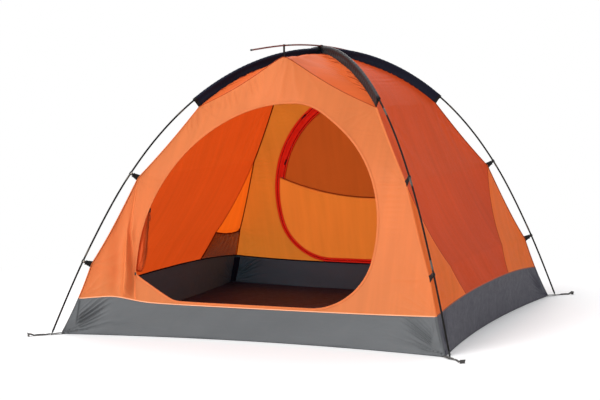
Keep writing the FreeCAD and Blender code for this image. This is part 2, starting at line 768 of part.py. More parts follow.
# ---------------------------------------------------------------- sleeves, clips, webbing
def sleeve(arm):
    """A fabric tunnel round the pole, with a tail sewn into the corner seam."""
    stations = POLE_OF[arm]
    spare = SEAM_OFFSET / 2
    alongs = [s[0] for s in stations if CROWN_REACH + spare < s[0] < SLEEVE_END - spare]
    outer, inner = [], []
    for along in [CROWN_REACH] + alongs + [SLEEVE_END]:
        out, z, _ = at(stations, along)
        seam_out, seam_z = seam(along)
        pole = V(out, 0, z)
        down = V(seam_out - out, 0, seam_z - z)
        reach = down.Length + SEWN_IN
        down.normalize()
        side = V(0, 1, 0)
        half = SLEEVE_TAIL_T / 2
        lean = math.radians(SLEEVE_LEAN)
        fold = []
        for step in range(SLEEVE_FACETS + 1):
            angle = -lean + (math.pi + 2 * lean) * step / SLEEVE_FACETS
            fold.append(pole + side * (SLEEVE_R * math.cos(angle)) - down * (SLEEVE_R * math.sin(angle)))
        neck = pole + down * SLEEVE_NECK
        tail = pole + down * reach
        edge = [neck - side * half, tail - side * half, tail + side * half, neck + side * half]
        outer.append(Part.makePolygon(fold + edge + fold[:1]))
        radius = (MAIN_POLE_D / 2 + SLEEVE_SLACK) / math.cos(math.pi / SLEEVE_FACETS)
        tunnel = []
        for step in range(SLEEVE_FACETS + 1):
            angle = 2 * math.pi * step / SLEEVE_FACETS
            tunnel.append(pole + side * (radius * math.cos(angle)) + down * (radius * math.sin(angle)))
        inner.append(Part.makePolygon(tunnel))
    solid = Part.makeLoft(outer, True, True).cut(Part.makeLoft(inner, True, True))
    return placed(solid, arm)


def across_pole(arm, along):
    """At a clip: X outwards, Y across the arm, Z up the pole, in the arm's plane."""
    out, z, _ = at(POLE_OF[arm], along)
    heading = chord_heading(POLE_OF[arm], along)
    outwards = V(math.sin(heading), 0, math.cos(heading))
    up_pole = V(-math.cos(heading), 0, math.sin(heading))
    rotation = FreeCAD.Rotation(outwards, up_pole.cross(outwards), up_pole, "XYZ")
    return FreeCAD.Placement(V(out, 0, z), rotation)


def pole_clip(arm, along):
    """A plastic hook snapped round the pole, with a stem to its webbing tab."""
    inner = (MAIN_POLE_D / 2 + CLIP_CLEAR) / math.cos(math.pi / ROUND_SIDES)
    outer = inner + CLIP_WALL
    mouth = math.radians(CLIP_MOUTH / 2)
    low = -CLIP_W / 2
    hook = []
    for radius in (outer, inner):
        arc = []
        for i in range(ROUND_SIDES + 1):
            angle = mouth + 2 * (math.pi - mouth) * i / ROUND_SIDES
            arc.append(V(radius * math.cos(angle), radius * math.sin(angle), low))
        hook += arc if radius == outer else arc[::-1]
    hook = Part.Face(Part.makePolygon(hook + hook[:1])).extrude(Z_AXIS * CLIP_W)
    bar_from = -outer - CLIP_STEM
    stem_l = CLIP_STEM + CLIP_WALL / 2
    stem = Part.makeBox(stem_l, 2 * CLIP_WALL, CLIP_W, V(bar_from, -CLIP_WALL, low))
    bar_half = TAB_W_CLIP / 2 + CLIP_BAR_MORE
    bar = Part.makeBox(CLIP_BAR_T, 2 * CLIP_WALL, 2 * bar_half, V(bar_from, -CLIP_WALL, -bar_half))
    clip = hook.multiFuse([stem, bar]).removeSplitter()
    clip.transformShape(across_pole(arm, along).toMatrix())
    return placed(clip, arm)


def clip_tab(arm, along):
    """The webbing from a clip's bar to the corner seam, wider at the seam."""
    frame = across_pole(arm, along)
    start = -(MAIN_POLE_D / 2 + CLIP_CLEAR) / math.cos(math.pi / ROUND_SIDES) - CLIP_WALL - CLIP_STEM
    seam_out, seam_z = seam(along)
    end = frame.inverse().multVec(V(seam_out, 0, seam_z)).x - SEWN_IN
    a, b = TAB_W_CLIP / 2, TAB_W_SEAM / 2
    low = V(0, -WEBBING_T / 2, 0)
    outline = [V(start, 0, a), V(end, 0, b), V(end, 0, -b), V(start, 0, -a), V(start, 0, a)]
    tab = Part.Face(Part.makePolygon([p + low for p in outline])).extrude(V(0, WEBBING_T, 0))
    tab.transformShape(frame.toMatrix())
    return placed(tab, arm)


def clips_and_tabs(maker):
    return Part.makeCompound([maker(arm, along) for arm in ARMS for along in CLIP_STATIONS])


def ridge_strap(end):
    """A webbing band from the front (-1) or rear (1) peak up round the ridge pole."""
    y = end * PEAK_Y
    point, direction = ridge_at(y)
    inner = (RIDGE_POLE_D / 2 + WEBBING_CLEAR) / math.cos(math.pi / ROUND_SIDES)
    low = point - direction * (RIDGE_STRAP_W / 2)
    stem_low = PEAK_Z - SKIN / 2
    height = point.z - inner - WEBBING_T / 2 - stem_low
    stem_foot = V(-WEBBING_T, y - RIDGE_STRAP_W / 2, stem_low)
    stem = Part.makeBox(2 * WEBBING_T, RIDGE_STRAP_W, height, stem_foot)
    band = round_bar(inner + WEBBING_T, RIDGE_STRAP_W, low, direction).fuse(stem)
    return band.cut(round_bar(inner, RIDGE_STRAP_W, low, direction)).removeSplitter()


def crossing_tie():
    """A webbing band from the crown patch up round all three poles."""
    low = corner(CROWN_REACH).z
    high = ridge_at(0)[0].z + RIDGE_POLE_D / 2 + WEBBING_CLEAR
    half = RIDGE_STRAP_W / 2
    outside = TIE_HALF + WEBBING_T
    floor = low + WEBBING_T
    band = Part.makeBox(2 * outside, RIDGE_STRAP_W, high + WEBBING_T - low, V(-outside, -half, low))
    hole = Part.makeBox(2 * TIE_HALF, RIDGE_STRAP_W, high - floor, V(-TIE_HALF, -half, floor))
    return band.cut(hole)


# ---------------------------------------------------------------- feet
FOOT_OUT, FOOT_Z, FOOT_HEADING, _ = MEAN_POLE[-1][1:]
TIP_DIRECTION = V(math.cos(FOOT_HEADING), 0, -math.sin(FOOT_HEADING))
EYELET_OUT = FOOT_OUT + (FOOT_Z - STRAP_Z) / math.tan(FOOT_HEADING)
EYELET_H = WEBBING_T + 2 * EYELET_WALL


def pole_tip(arm):
    """A turned tip: a collar at the tube's end, a cone, and a pin that stands in the eyelet."""
    _, out, z, heading, _ = POLE_OF[arm][-1]
    direction = V(math.cos(heading), 0, -math.sin(heading))
    length = (z - TIP_PIN_END - TIP_PIN_R * math.cos(heading)) / math.sin(heading)
    cone_end = (z - STRAP_Z - EYELET_H / 2) / math.sin(heading) - TIP_CONE_ABOVE
    collar = MAIN_POLE_D / 2 + TIP_COLLAR
    tip = turned([
        (collar, 0),
        (collar, cone_end - TIP_CONE_L),
        (TIP_PIN_R, cone_end),
        (TIP_PIN_R, length - TIP_CHAMFER),
        (TIP_PIN_R - TIP_CHAMFER, length),
    ])
    lateral = V(0, 1, 0)
    rotation = FreeCAD.Rotation(lateral.cross(direction), lateral, direction, "XYZ")
    tip.transformShape(FreeCAD.Placement(V(out, 0, z), rotation).toMatrix())
    return placed(tip, arm)


def eyelet():
    """A bush through the webbing, with a flange on top."""
    low = V(EYELET_OUT, 0, STRAP_Z - WEBBING_T / 2)
    bush = round_bar(EYELET_R + EYELET_WALL, WEBBING_T, low, Z_AXIS)
    flange = round_bar(EYELET_FLANGE_R, EYELET_WALL, low + Z_AXIS * WEBBING_T, Z_AXIS)
    bore = round_bar(EYELET_R, EYELET_H, low, Z_AXIS)
    return bush.fuse(flange).cut(bore).removeSplitter()


def corner_strap():
    """Webbing from the floor's corner out past the eyelet."""
    start = seam(FLOOR_ALONG)[0] - STRAP_W / 2
    length = EYELET_OUT + STRAP_PAST_EYELET - start
    strap = Part.makeBox(length, STRAP_W, WEBBING_T, V(start, -STRAP_W / 2, STRAP_Z - WEBBING_T / 2))
    under = V(EYELET_OUT, 0, STRAP_Z - WEBBING_T)
    return strap.cut(round_bar(EYELET_R + EYELET_WALL, 2 * WEBBING_T, under, Z_AXIS))


def peg_loop():
    """Webbing from the fold past the eyelet down to the ground, ending in a loop for the peg."""
    start = EYELET_OUT + STRAP_PAST_EYELET + LOOP_GAP
    end = EYELET_OUT + LOOP_REACH
    hole_l, hole_w = LOOP_HOLE
    loop_from = end - hole_l - 2 * LOOP_T
    top = STRAP_Z + WEBBING_T / 2
    under = STRAP_Z - WEBBING_T / 2
    down_to = start + LOOP_DIP_L
    clear = LOOP_CLEAR
    laid = clear + WEBBING_T
    profile = [V(start, 0, top), V(start, 0, under), V(down_to, 0, clear), V(loop_from, 0, clear)]
    profile += [V(loop_from, 0, laid), V(down_to, 0, laid), V(start, 0, top)]
    web = Part.Face(Part.makePolygon(profile)).extrude(V(0, STRAP_W, 0))
    web.translate(V(0, -STRAP_W / 2, 0))
    loop = Part.makeBox(end - loop_from, LOOP_W, LOOP_T, V(loop_from, -LOOP_W / 2, clear))
    under_hole = V(loop_from + LOOP_T, -hole_w / 2, -LOOP_T / 2)
    hole = Part.makeBox(hole_l, hole_w, 2 * LOOP_T, under_hole)
    tab = Part.makeBox(LOOP_T, LOOP_W, LOOP_TAB_H, V(end - LOOP_T, -LOOP_W / 2, clear))
    return web.multiFuse([loop.cut(hole), tab]).removeSplitter()


# ---------------------------------------------------------------- the nodes
def build():
    front = front_wall().cut(doorway_cut())
    front_gusset = front.common(gusset_side())
    front_panel = front.cut(gusset_side())
    side = side_wall()
    long_cut = gusset_cut(GUSSET_LONG, -1)
    short_cut = gusset_cut(GUSSET_SHORT, 1)
    gusset_long = side.common(long_cut)
    gusset_short = side.common(short_cut)
    side_panel = side.cut(long_cut).cut(short_cut)
    door = (LONG_SIDE_ARC, DOOR_SLIDER_AT, 0.0)
    window = (LONG_SIDE_ARC, WINDOW_SLIDER_AT, -WINDOW_GAP_OUTER - CHAIN_GAP / 2)
    parked = (SEWN_CORNER_ARC, 180.0 + FRONT_SLIDER_AT, 0.0)
    nodes = {
        "groundsheet": groundsheet(),
        "tub_wall_front": tub_front(),
        "tub_wall_rear": half_turn(tub_front()),
        "tub_wall_right": tub_side(),
        "tub_wall_left": half_turn(tub_side()),
        "front_wall_panel": front_panel,
        "front_wall_gusset": front_gusset,
        "rear_wall_panel": half_turn(front_panel),
        "rear_wall_gusset": half_turn(front_gusset),
        "side_panel_right": side_panel,
        "side_panel_left": half_turn(side_panel),
        "side_gusset_front_right": gusset_long,
        "side_gusset_rear_left": half_turn(gusset_long),
        "side_gusset_rear_right": gusset_short,
        "side_gusset_front_left": half_turn(gusset_short),
        "roof_panel_front": roof_front(),
        "roof_panel_rear": half_turn(roof_front()),
        "crown_patch": crown_patch(),
        "main_pole_under": main_pole("front_left", "rear_right"),
        "main_pole_over": main_pole("front_right", "rear_left"),
        "ridge_pole": ridge_pole(),
        "ridge_pole_caps": ridge_caps(),
        "pole_tips": Part.makeCompound([pole_tip(arm) for arm in ARMS]),
        "pole_clips": clips_and_tabs(pole_clip),
        "clip_tabs": clips_and_tabs(clip_tab),
        "ridge_straps": Part.makeCompound([ridge_strap(end) for end in (-1, 1)]),
        "crossing_tie": crossing_tie(),
        "corner_straps": Part.makeCompound([placed(corner_strap(), arm) for arm in ARMS]),
        "corner_eyelets": Part.makeCompound([placed(eyelet(), arm) for arm in ARMS]),
        "front_zip_tape": wall_tape(),
        "rear_zip_tape": half_turn(wall_tape()),
        "rear_door_tape": half_turn(door_tape()),
        "rear_door_panel": half_turn(door_panel()),
        "rear_door_window": half_turn(door_window()),
        "window_zip_tape": half_turn(window_tape()),
        "rear_door_slider": half_turn(zip_slider(*door)),
        "rear_door_pull": half_turn(zip_pull(*door)),
        "window_slider": half_turn(zip_slider(*window)),
        "window_pull": half_turn(zip_pull(*window)),
        "front_door_slider": zip_slider(*parked),
        "front_door_pull": zip_pull(*parked),
        "front_door_roll": rolled_door(),
        "front_door_tie": roll_tie(),
        "front_door_toggle": roll_toggle(),
        "mesh_pocket": mesh_pocket(),
    }
    for arm in ARMS:
        nodes["pole_sleeve_" + arm] = sleeve(arm)
        nodes["peg_loop_" + arm] = placed(peg_loop(), arm)
    return nodes


os.makedirs("parts", exist_ok=True)
NODES = build()
for name, shape in NODES.items():
    shape.exportStep(os.path.join("parts", name + ".step"))
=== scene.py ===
import json
import math

import bmesh
import bpy
import numpy as np
from mathutils import Matrix, Vector


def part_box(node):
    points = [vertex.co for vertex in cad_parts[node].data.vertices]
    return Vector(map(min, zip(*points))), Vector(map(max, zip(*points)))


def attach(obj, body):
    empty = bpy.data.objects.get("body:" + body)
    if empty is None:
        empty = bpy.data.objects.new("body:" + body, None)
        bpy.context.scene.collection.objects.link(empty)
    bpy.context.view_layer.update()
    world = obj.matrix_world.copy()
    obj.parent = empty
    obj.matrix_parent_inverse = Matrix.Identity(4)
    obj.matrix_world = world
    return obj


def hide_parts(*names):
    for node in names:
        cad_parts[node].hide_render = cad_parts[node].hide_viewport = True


# The looks of the dome tent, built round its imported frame. Metres; the ground is z = 0, the front
# with the open doorway is -Y. An arm is one half of a main pole, from the crossing to its foot.

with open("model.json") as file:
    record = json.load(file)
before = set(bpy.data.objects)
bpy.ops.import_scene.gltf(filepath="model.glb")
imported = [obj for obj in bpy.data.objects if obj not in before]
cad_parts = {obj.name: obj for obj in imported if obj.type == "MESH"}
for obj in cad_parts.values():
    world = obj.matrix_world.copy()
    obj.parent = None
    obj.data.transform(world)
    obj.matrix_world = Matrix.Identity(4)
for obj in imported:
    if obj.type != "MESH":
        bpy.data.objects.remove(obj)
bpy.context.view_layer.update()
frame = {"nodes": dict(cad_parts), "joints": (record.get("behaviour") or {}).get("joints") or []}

# ---------------------------------------------------------------- sizes that the frame doesn't give
# Places along a pole, or along the corner seam under it, are lengths from the crossing.
SEAM_OFFSET = 0.047  # from a main pole's centre line in to the corner seam
SEAM_RISE = 0.020  # how much nearer the poles the seam comes at their crossing
GATHER = 0.0060  # the sleeve's gathers repeat every 2 pi times this
SEAM_SAG = (0.024, 0.016, 0.010)  # how far the seam hangs in below the sleeve, and below each clip
CROWN_REACH = 0.060  # place where the roof meets the crown patch
SLEEVE_END = 0.777
SLEEVE_START = 0.021
CLIP_STATIONS = (1.274, 1.770)
BAND_CORNER_Z = 0.172  # height of the band's top at the corners
TUB_LIFT = 0.020  # how far the pull of the left gusset lifts the band's top
TUB_TOP_POWER = 3.0  # how sharply the front band's top curves out to its corners
FLOOR_BOW_FRONT = 0.104  # how far the floor's front and rear edges curve in
FLOOR_BOW_SIDE = 0.061
TUB_BOW_SIDE = 0.011  # the same for the top of the band at the sides
LIFT_FADE = 0.3  # share of the side wall's height over which its bottom's arch dies out
DOOR_BOTTOM = -0.008  # the doorway's lowest point, up the wall
DOOR_TOP_GAP = 0.106  # from the doorway's highest point to the peak
DOOR_BOTTOM_SHARE = 0.247  # where its lowest point is, across from the middle; a share of its height
DOOR_ARCS = ((0.249, 80.8), (0.654, 65.2), (0.218, 36.8), (0.683, 87.2))  # radius share, turn in degrees
DOOR_SEWN_CORNER = 0.160  # radius of the last arc, at the foot of the sewn side
DOOR_MIDDLE = (-0.06, 0.52)  # across and up the wall: a point that the whole outline is seen from
TAPE = 0.012  # width of the doorway's zip tapes
CHAIN_GAP = 0.003  # between two tapes, where the teeth are
TAPE_T = 0.0012
TAPE_OUT = 0.0004  # from the wall's plane out to a tape's face
TAPE_GAP = 0.0004  # half of the gap between the wall's tape and the door's
TOOTH_PITCH = 0.0026
HINGE_CLEAR = 0.0065  # how far the door's tapes stay from the line that the door turns about
WINDOW_SEAM_R = 1.320  # radius of the curved seam under the window
WINDOW_SEAM_V = 0.397  # that seam's lowest point, up the wall
WINDOW_BAND = 0.0215  # width of the red band round the window
WINDOW_TAPE = 0.008
GUSSET_LONG = (0.546, 0.351, 0.470)  # its seam's foot in from the corner, then y in and z half way up
GUSSET_SHORT = (0.581, 0.461, 0.490)
LONG_GUSSET_BULGE = 0.010
GUSSET_SLANT = 0.27  # of the front gusset's seam, across for each metre up
GUSSET_RISE = 0.09  # from the centre of the doorway's last long arc up to that seam's bend
SKIN_BACK = 0.001  # from the wall's plane back to the middle of its cloth
RIDGE_ROUND = 0.06  # how softly the roof bends over its ridge
PEAK_SAG = 0.020  # how far the seam from a peak out to its sleeves hangs below a straight line
SILL_CORNER_V = 0.115  # the sewn side of the doorway starts this far up the wall
SILL_CUT = 0.211  # out from the wall's middle to the slack line that cuts off the doorway's sewn corner
SILL_FACING = (-0.4834, -0.8754)
ARCH_SLACK = (0.042, 55.0, 28.0)  # share by which the open doorway's edge hangs in, where, how wide
SEAM_W = 0.009
SEAM_T = 0.0011
STITCH_PITCH = 0.0045
PIPING_R = 0.0024
WEBBING_T = 0.0016
TUNNEL_R = 0.0088  # of the sleeve round its pole
TUNNEL_NECK = 0.0176  # from the pole's centre to where the sleeve's two layers meet
FIN_HALF = 0.0010
CLIP_W = 0.014
CLIP_WALL = 0.0022
CLIP_IN = 0.0051
CLIP_STEM = 0.009
TAB_HALF_CLIP = 0.010
TAB_HALF_SEAM = 0.0165
FLAT = 1e-9  # a vector shorter than this has no direction

ARMS = {"front_left": (-1, -1), "front_right": (1, -1), "rear_right": (1, 1), "rear_left": (-1, 1)}
POLE_NODE = {arm: "main_pole_under" if x * y > 0 else "main_pole_over" for arm, (x, y) in ARMS.items()}
RIGHT = np.array([1.0, 0.0, 0.0])
UP = np.array([0.0, 0.0, 1.0])


# ---------------------------------------------------------------- lines and surfaces
def unit(vectors):
    """The same directions, one long."""
    vectors = np.asarray(vectors, float)
    return vectors / np.maximum(np.linalg.norm(vectors, axis=-1, keepdims=True), FLAT)


def columns(*values):
    """Points from their coordinates, each given for all of them."""
    return np.stack(values, axis=-1)


def smooth(x, low, high):
    """0 below low, 1 above high and a soft step between."""
    t = np.clip((np.asarray(x, float) - low) / (high - low), 0, 1)
    return t * t * (3 - 2 * t)


def hump(x, at, wide):
    """1 at one place, and nothing much farther from it than wide."""
    return np.exp(-(((x - at) / wide) ** 2))


class Line:
    """A smooth line through points, by length along its straight runs; straight past its ends."""

    def __init__(self, points):
        self.points = np.asarray(points, float)
        runs = np.diff(self.points, axis=0)
        spans = np.linalg.norm(runs, axis=1)
        self.along = np.concatenate([[0.0], np.cumsum(spans)])
        slopes = runs / spans[:, None]
        tangents = np.empty_like(self.points)
        before, after = spans[:-1, None], spans[1:, None]
        tangents[1:-1] = (before * slopes[1:] + after * slopes[:-1]) / (before + after)
        tangents[0] = 1.5 * slopes[0] - 0.5 * tangents[1]
        tangents[-1] = 1.5 * slopes[-1] - 0.5 * tangents[-2]
        self.tangents = tangents
        self.length = self.along[-1]

    def at(self, s):
        s = np.asarray(s, float)
        inside = np.clip(s, 0, self.length)
        i = np.clip(np.searchsorted(self.along, inside, side="right") - 1, 0, len(self.along) - 2)
        span = self.along[i + 1] - self.along[i]
        t = ((inside - self.along[i]) / span)[..., None]
        span = span[..., None]
        p, q, m, n = self.points[i], self.points[i + 1], self.tangents[i], self.tangents[i + 1]
        place = (2 * t**3 - 3 * t**2 + 1) * p + (t**3 - 2 * t**2 + t) * span * m
        place = place + (3 * t**2 - 2 * t**3) * q + (t**3 - t**2) * span * n
        end = np.where((s > self.length)[..., None], self.tangents[-1], self.tangents[0])
        return place + end * (s - inside)[..., None]

    def heading(self, s):
        step = 1e-3
        return unit(self.at(np.asarray(s) + step) - self.at(np.asarray(s) - step))


def node_points(node):
    """The corners of a CAD node's mesh."""
    mesh = frame["nodes"][node].data
    points = np.empty(3 * len(mesh.vertices))
    mesh.vertices.foreach_get("co", points)
    return points.reshape(-1, 3)


def ring_centres(node, direction):
    """The middles of the rings that a rod of the frame is lofted through, in order along direction."""
    least_gap = 0.02
    points = node_points(node)
    along = points @ direction
    order = np.argsort(along)
    breaks = np.nonzero(np.diff(along[order]) > least_gap)[0] + 1
    groups = np.split(points[order], breaks)
    return np.array([(g.min(axis=0) + g.max(axis=0)) / 2 for g in groups])


def cloth_noise(x, y, size, seed):
    """Even, smooth unevenness of about that size, from waves in many directions."""
    waves = 9
    rng = np.random.default_rng(seed)
    total = 0.0
    for _ in range(waves):
        turn, phase = rng.uniform(0, 2 * math.pi, 2)
        k = 2 * math.pi / (size * rng.uniform(0.7, 1.5))
        total = total + np.sin(k * (x * math.cos(turn) + y * math.sin(turn)) + phase)
    return total / math.sqrt(waves)


def uneven(x, size, seed):
    """Smooth unevenness along one line, from about -1 to 1."""
    rng = np.random.default_rng(seed)
    total = 0.0
    for scale in (1.0, 0.61, 0.37):
        total = total + scale * np.sin(2 * math.pi * x / (size * scale) + rng.uniform(0, 2 * math.pi))
    return total / 1.5


def crest(x, sharp=2.5):
    """Narrow crests and wide hollows, once in each turn of x."""
    return np.exp(sharp * (np.cos(x) - 1))


def fan(u, v, at, towards, spread, folds, reach, seed):
    """Folds that fan out of a point: about 1 on a crest near it, and nothing far away."""
    du, dv = u - at[0], v - at[1]
    r = np.hypot(du, dv)
    turn = (np.arctan2(dv, du) - math.radians(towards) + math.pi) % (2 * math.pi) - math.pi
    wide = math.radians(spread)
    window = np.exp(-((turn / wide) ** 2)) * smooth(r, 0, 0.1 * reach) * np.exp(-((r / reach) ** 2))
    phase = turn / wide * math.pi * folds + 0.8 * uneven(turn, wide, seed) + 0.6 * uneven(r, reach, seed + 1)
    return window * (crest(phase) - 0.3)


def coons(bottom, top, left, right):
    """A surface inside four edges: bottom and top run from left to right, left and right go up."""
    u = np.linspace(0, 1, len(bottom))[None, :, None]
    v = np.linspace(0, 1, len(left))[:, None, None]
    ruled = (1 - v) * bottom[None] + v * top[None] + (1 - u) * left[:, None] + u * right[:, None]
    corners = (1 - v) * ((1 - u) * bottom[0] + u * bottom[-1]) + v * ((1 - u) * top[0] + u * top[-1])
    return ruled - corners


def surface_normals(points, towards):
    """Directions square to a grid of points, on the side that towards points to."""
    normals = unit(np.cross(np.gradient(points, axis=1), np.gradient(points, axis=0)))
    return normals * np.sign((normals @ np.asarray(towards, float)).sum())


def line_lengths(path):
    """How far along a line of points each of them is."""
    return np.concatenate([[0], np.cumsum(np.linalg.norm(np.diff(path, axis=0), axis=1))])


def lengths(points, axis):
    """How far along its row (axis 1) or column (axis 0) each point of a grid is."""
    steps = np.linalg.norm(np.diff(points, axis=axis), axis=2)
    zero = np.zeros_like(steps[:1] if axis == 0 else steps[:, :1])
    return np.concatenate([zero, np.cumsum(steps, axis=axis)], axis=axis)


def read(values, at, places):
    """Points given at some places of a line, read at others."""
    return columns(*(np.interp(places, at, column) for column in np.asarray(values).T))


def from_edges(points, sides="lrbt"):
    """How far each point of a grid is from the nearest of its left, right, bottom and top edges."""
    across, up = lengths(points, 1), lengths(points, 0)
    each = {"l": across, "r": across[:, -1:] - across, "b": up, "t": up[-1:] - up}
    return np.minimum.reduce([each[s] for s in sides])


# ---------------------------------------------------------------- making pieces
MIDDLE = Vector((0.0, 0.0, 0.5))


def orient(mesh):
    """Faces look away from the middle of the tent."""
    if sum(face.area * face.normal.dot(face.center - MIDDLE) for face in mesh.polygons) < 0:
        mesh.flip_normals()


def piece(name, points, faces, materials, uv, slot, body="root", replaces=()):
    """One object from its points and faces, riding on a body."""
    mesh = bpy.data.meshes.new(name)
    mesh.from_pydata(points.reshape(-1, 3).tolist(), [], faces)
    layer = mesh.uv_layers.new(name="cloth")
    corner_of = np.empty(len(mesh.loops), int)
    mesh.loops.foreach_get("vertex_index", corner_of)
    layer.data.foreach_set("uv", uv.reshape(-1, 2)[corner_of].ravel())
    for material in materials:
        mesh.materials.append(material)
    work = bmesh.new()
    work.from_mesh(mesh)
    bmesh.ops.remove_doubles(work, verts=work.verts, dist=1e-6)
    bmesh.ops.recalc_face_normals(work, faces=work.faces)
    work.to_mesh(mesh)
    work.free()
    for face in mesh.polygons:
        face.use_smooth = True
    made = bpy.data.objects.new(name, mesh)
    bpy.context.scene.collection.objects.link(made)
    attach(made, body)
    if replaces:
        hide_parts(*replaces)
    return made


def grid_faces(grid, wrap=False, caps=False):
    """Faces between a grid's points; wrap closes its rows into rings, and caps fill the end ones."""
    index = np.arange(grid.shape[0] * grid.shape[1]).reshape(grid.shape[:2])
    closed = np.concatenate([index, index[:, :1]], axis=1) if wrap else index
    quads = columns(closed[:-1, :-1], closed[:-1, 1:], closed[1:, 1:], closed[1:, :-1])
    faces = quads.reshape(-1, 4).tolist()
    if caps:
        faces += [index[0].tolist()[::-1], index[-1].tolist()]
    return faces


def metres(points):
    """Flat coordinates of a grid in metres, for the weave."""
    return columns(lengths(points, 1), lengths(points, 0))


def cloth(name, points, material, slot, replaces, body="root", uv=None, wrap=False, thick=0.0,
          lining=None):
    """A sheet of fabric through a grid of points; thick cloth is given its own thickness."""
    uv = metres(points) if uv is None else uv
    materials = [material, lining] if lining else [material]
    made = piece(name, points, grid_faces(points, wrap), materials, uv, slot, body, replaces)
    orient(made.data)
    if thick:
        solid = made.modifiers.new("thickness", "SOLIDIFY")
        solid.thickness = thick
        solid.offset = -1.0
        solid.material_offset = 1 if lining else 0
    return made


def sweep(path, section, up):
    """Rings along a path: one section of (across, up) points for all of it, or one for each ring."""
    ahead = unit(np.gradient(path, axis=0))
    across = unit(np.cross(ahead, up))
    up = np.cross(across, ahead)
    section = np.asarray(section, float)
    return path[:, None] + section[..., :1] * across[:, None] + section[..., 1:] * up[:, None]


def circle(radius, sides):
    angles = 2 * math.pi * np.arange(sides) / sides
    return columns(radius * np.cos(angles), radius * np.sin(angles))


def bar_section(width, height, low=0.0):
    """A flat bar with rounded edges, standing on low."""
    a, h = width / 2, height / 2
    soft = 0.35 * height
    near = 0.3 * soft
    half = [(a - soft, h), (a - near, h - near), (a, 0), (a - near, near - h), (a - soft, -h)]
    ring = half + [(-x, y) for x, y in half[::-1]]
    return np.array([(x, y + h + low) for x, y in ring])


class Parts:
    """Loose meshes gathered into one piece."""

    def __init__(self):
        self.points, self.faces, self.uv, self.count = [], [], [], 0

    def add(self, points, faces):
        flat = points.reshape(-1, 3)
        self.faces += [[i + self.count for i in face] for face in faces]
        self.points.append(flat)
        self.uv.append(metres(points).reshape(-1, 2) if points.ndim == 3 else flat[:, :2])
        self.count += len(flat)

    def rings(self, rings, caps=True):
        self.add(rings, grid_faces(rings, wrap=True, caps=caps))

    def blocks(self, centres, ahead, across, out, size):
        """Small blocks that narrow towards out, one at each centre."""
        taper = 0.7
        sides = (np.broadcast_to(v, centres.shape)[:, None] for v in (ahead, across, out))
        a, b, c = (side * s / 2 for side, s in zip(sides, size))
        signs = np.array([(x, y, z) for z in (-1, 1) for y in (-1, 1) for x in (-1, 1)], float)
        middles = centres[:, None]
        corners = middles + signs[None, :, :1] * a + signs[None, :, 1:2] * b + signs[None, :, 2:] * c
        top = np.array([1] * 4 + [taper] * 4)[None, :, None]
        corners = middles + (corners - middles) * top + (1 - top) * c
        cube = [(0, 2, 3, 1), (4, 5, 7, 6), (0, 1, 5, 4), (2, 6, 7, 3), (0, 4, 6, 2), (1, 3, 7, 5)]
        faces = [[i + 8 * n for i in f] for n in range(len(centres)) for f in cube]
        self.add(corners.reshape(-1, 3), faces)

    def make(self, name, material, **kind):
        points, uv = np.concatenate(self.points), np.concatenate(self.uv)
        return piece(name, points, self.faces, [material], uv, **kind)


def spaced(path, pitch):
    """Places, directions and shares of the length at even spacing along a path."""
    along = line_lengths(path)
    length = along[-1]
    count = max(int(length / pitch), 1)
    s = (np.arange(count) + 0.5) * length / count
    step = length * 1e-3
    ahead = read(path, along, s + step) - read(path, along, s - step)
    return read(path, along, s), unit(ahead), s / length


def stitch_line(threads, line, across, out):
    """One row of short stitches in webbing."""
    places, ahead, _ = spaced(line, 0.003)
    threads.blocks(places, ahead, across, out, (0.002, 0.0006, 0.0005))


def seam_strip(cloths, threads, path, out, width=SEAM_W, rows=(-0.3, 0.3), height=SEAM_T):
    """A felled seam laid on the fabric: a raised strip with rows of stitches along it."""
    sunk = 0.0006
    rim = [(width / 2, -sunk), (0.45 * width, 0.6 * height), (0.3 * width, height)]
    grid = sweep(path, [(-x, y) for x, y in rim] + rim[::-1], out)
    cloths.add(grid, grid_faces(grid))
    places, ahead, shares = spaced(path, STITCH_PITCH)
    along = line_lengths(path)
    normal = unit(read(np.broadcast_to(out, path.shape), along / along[-1], shares))
    across = unit(np.cross(ahead, normal))
    for row in rows:
        centres = places + across * (row * width) + normal * (height + 0.0001)
        threads.blocks(centres, ahead, across, normal, (0.0028, 0.0006, 0.0005))


# ---------------------------------------------------------------- materials
def rgb(text):
    """A colour from its hex name, as the linear numbers that shaders use."""
    parts = [int(text[i:i + 2], 16) / 255 for i in (1, 3, 5)]
    return tuple(c / 12.92 if c <= 0.04045 else ((c + 0.055) / 1.055) ** 2.4 for c in parts) + (1.0,)


def scaled(colour, share):
    return tuple(c * share for c in colour[:3]) + (1.0,)


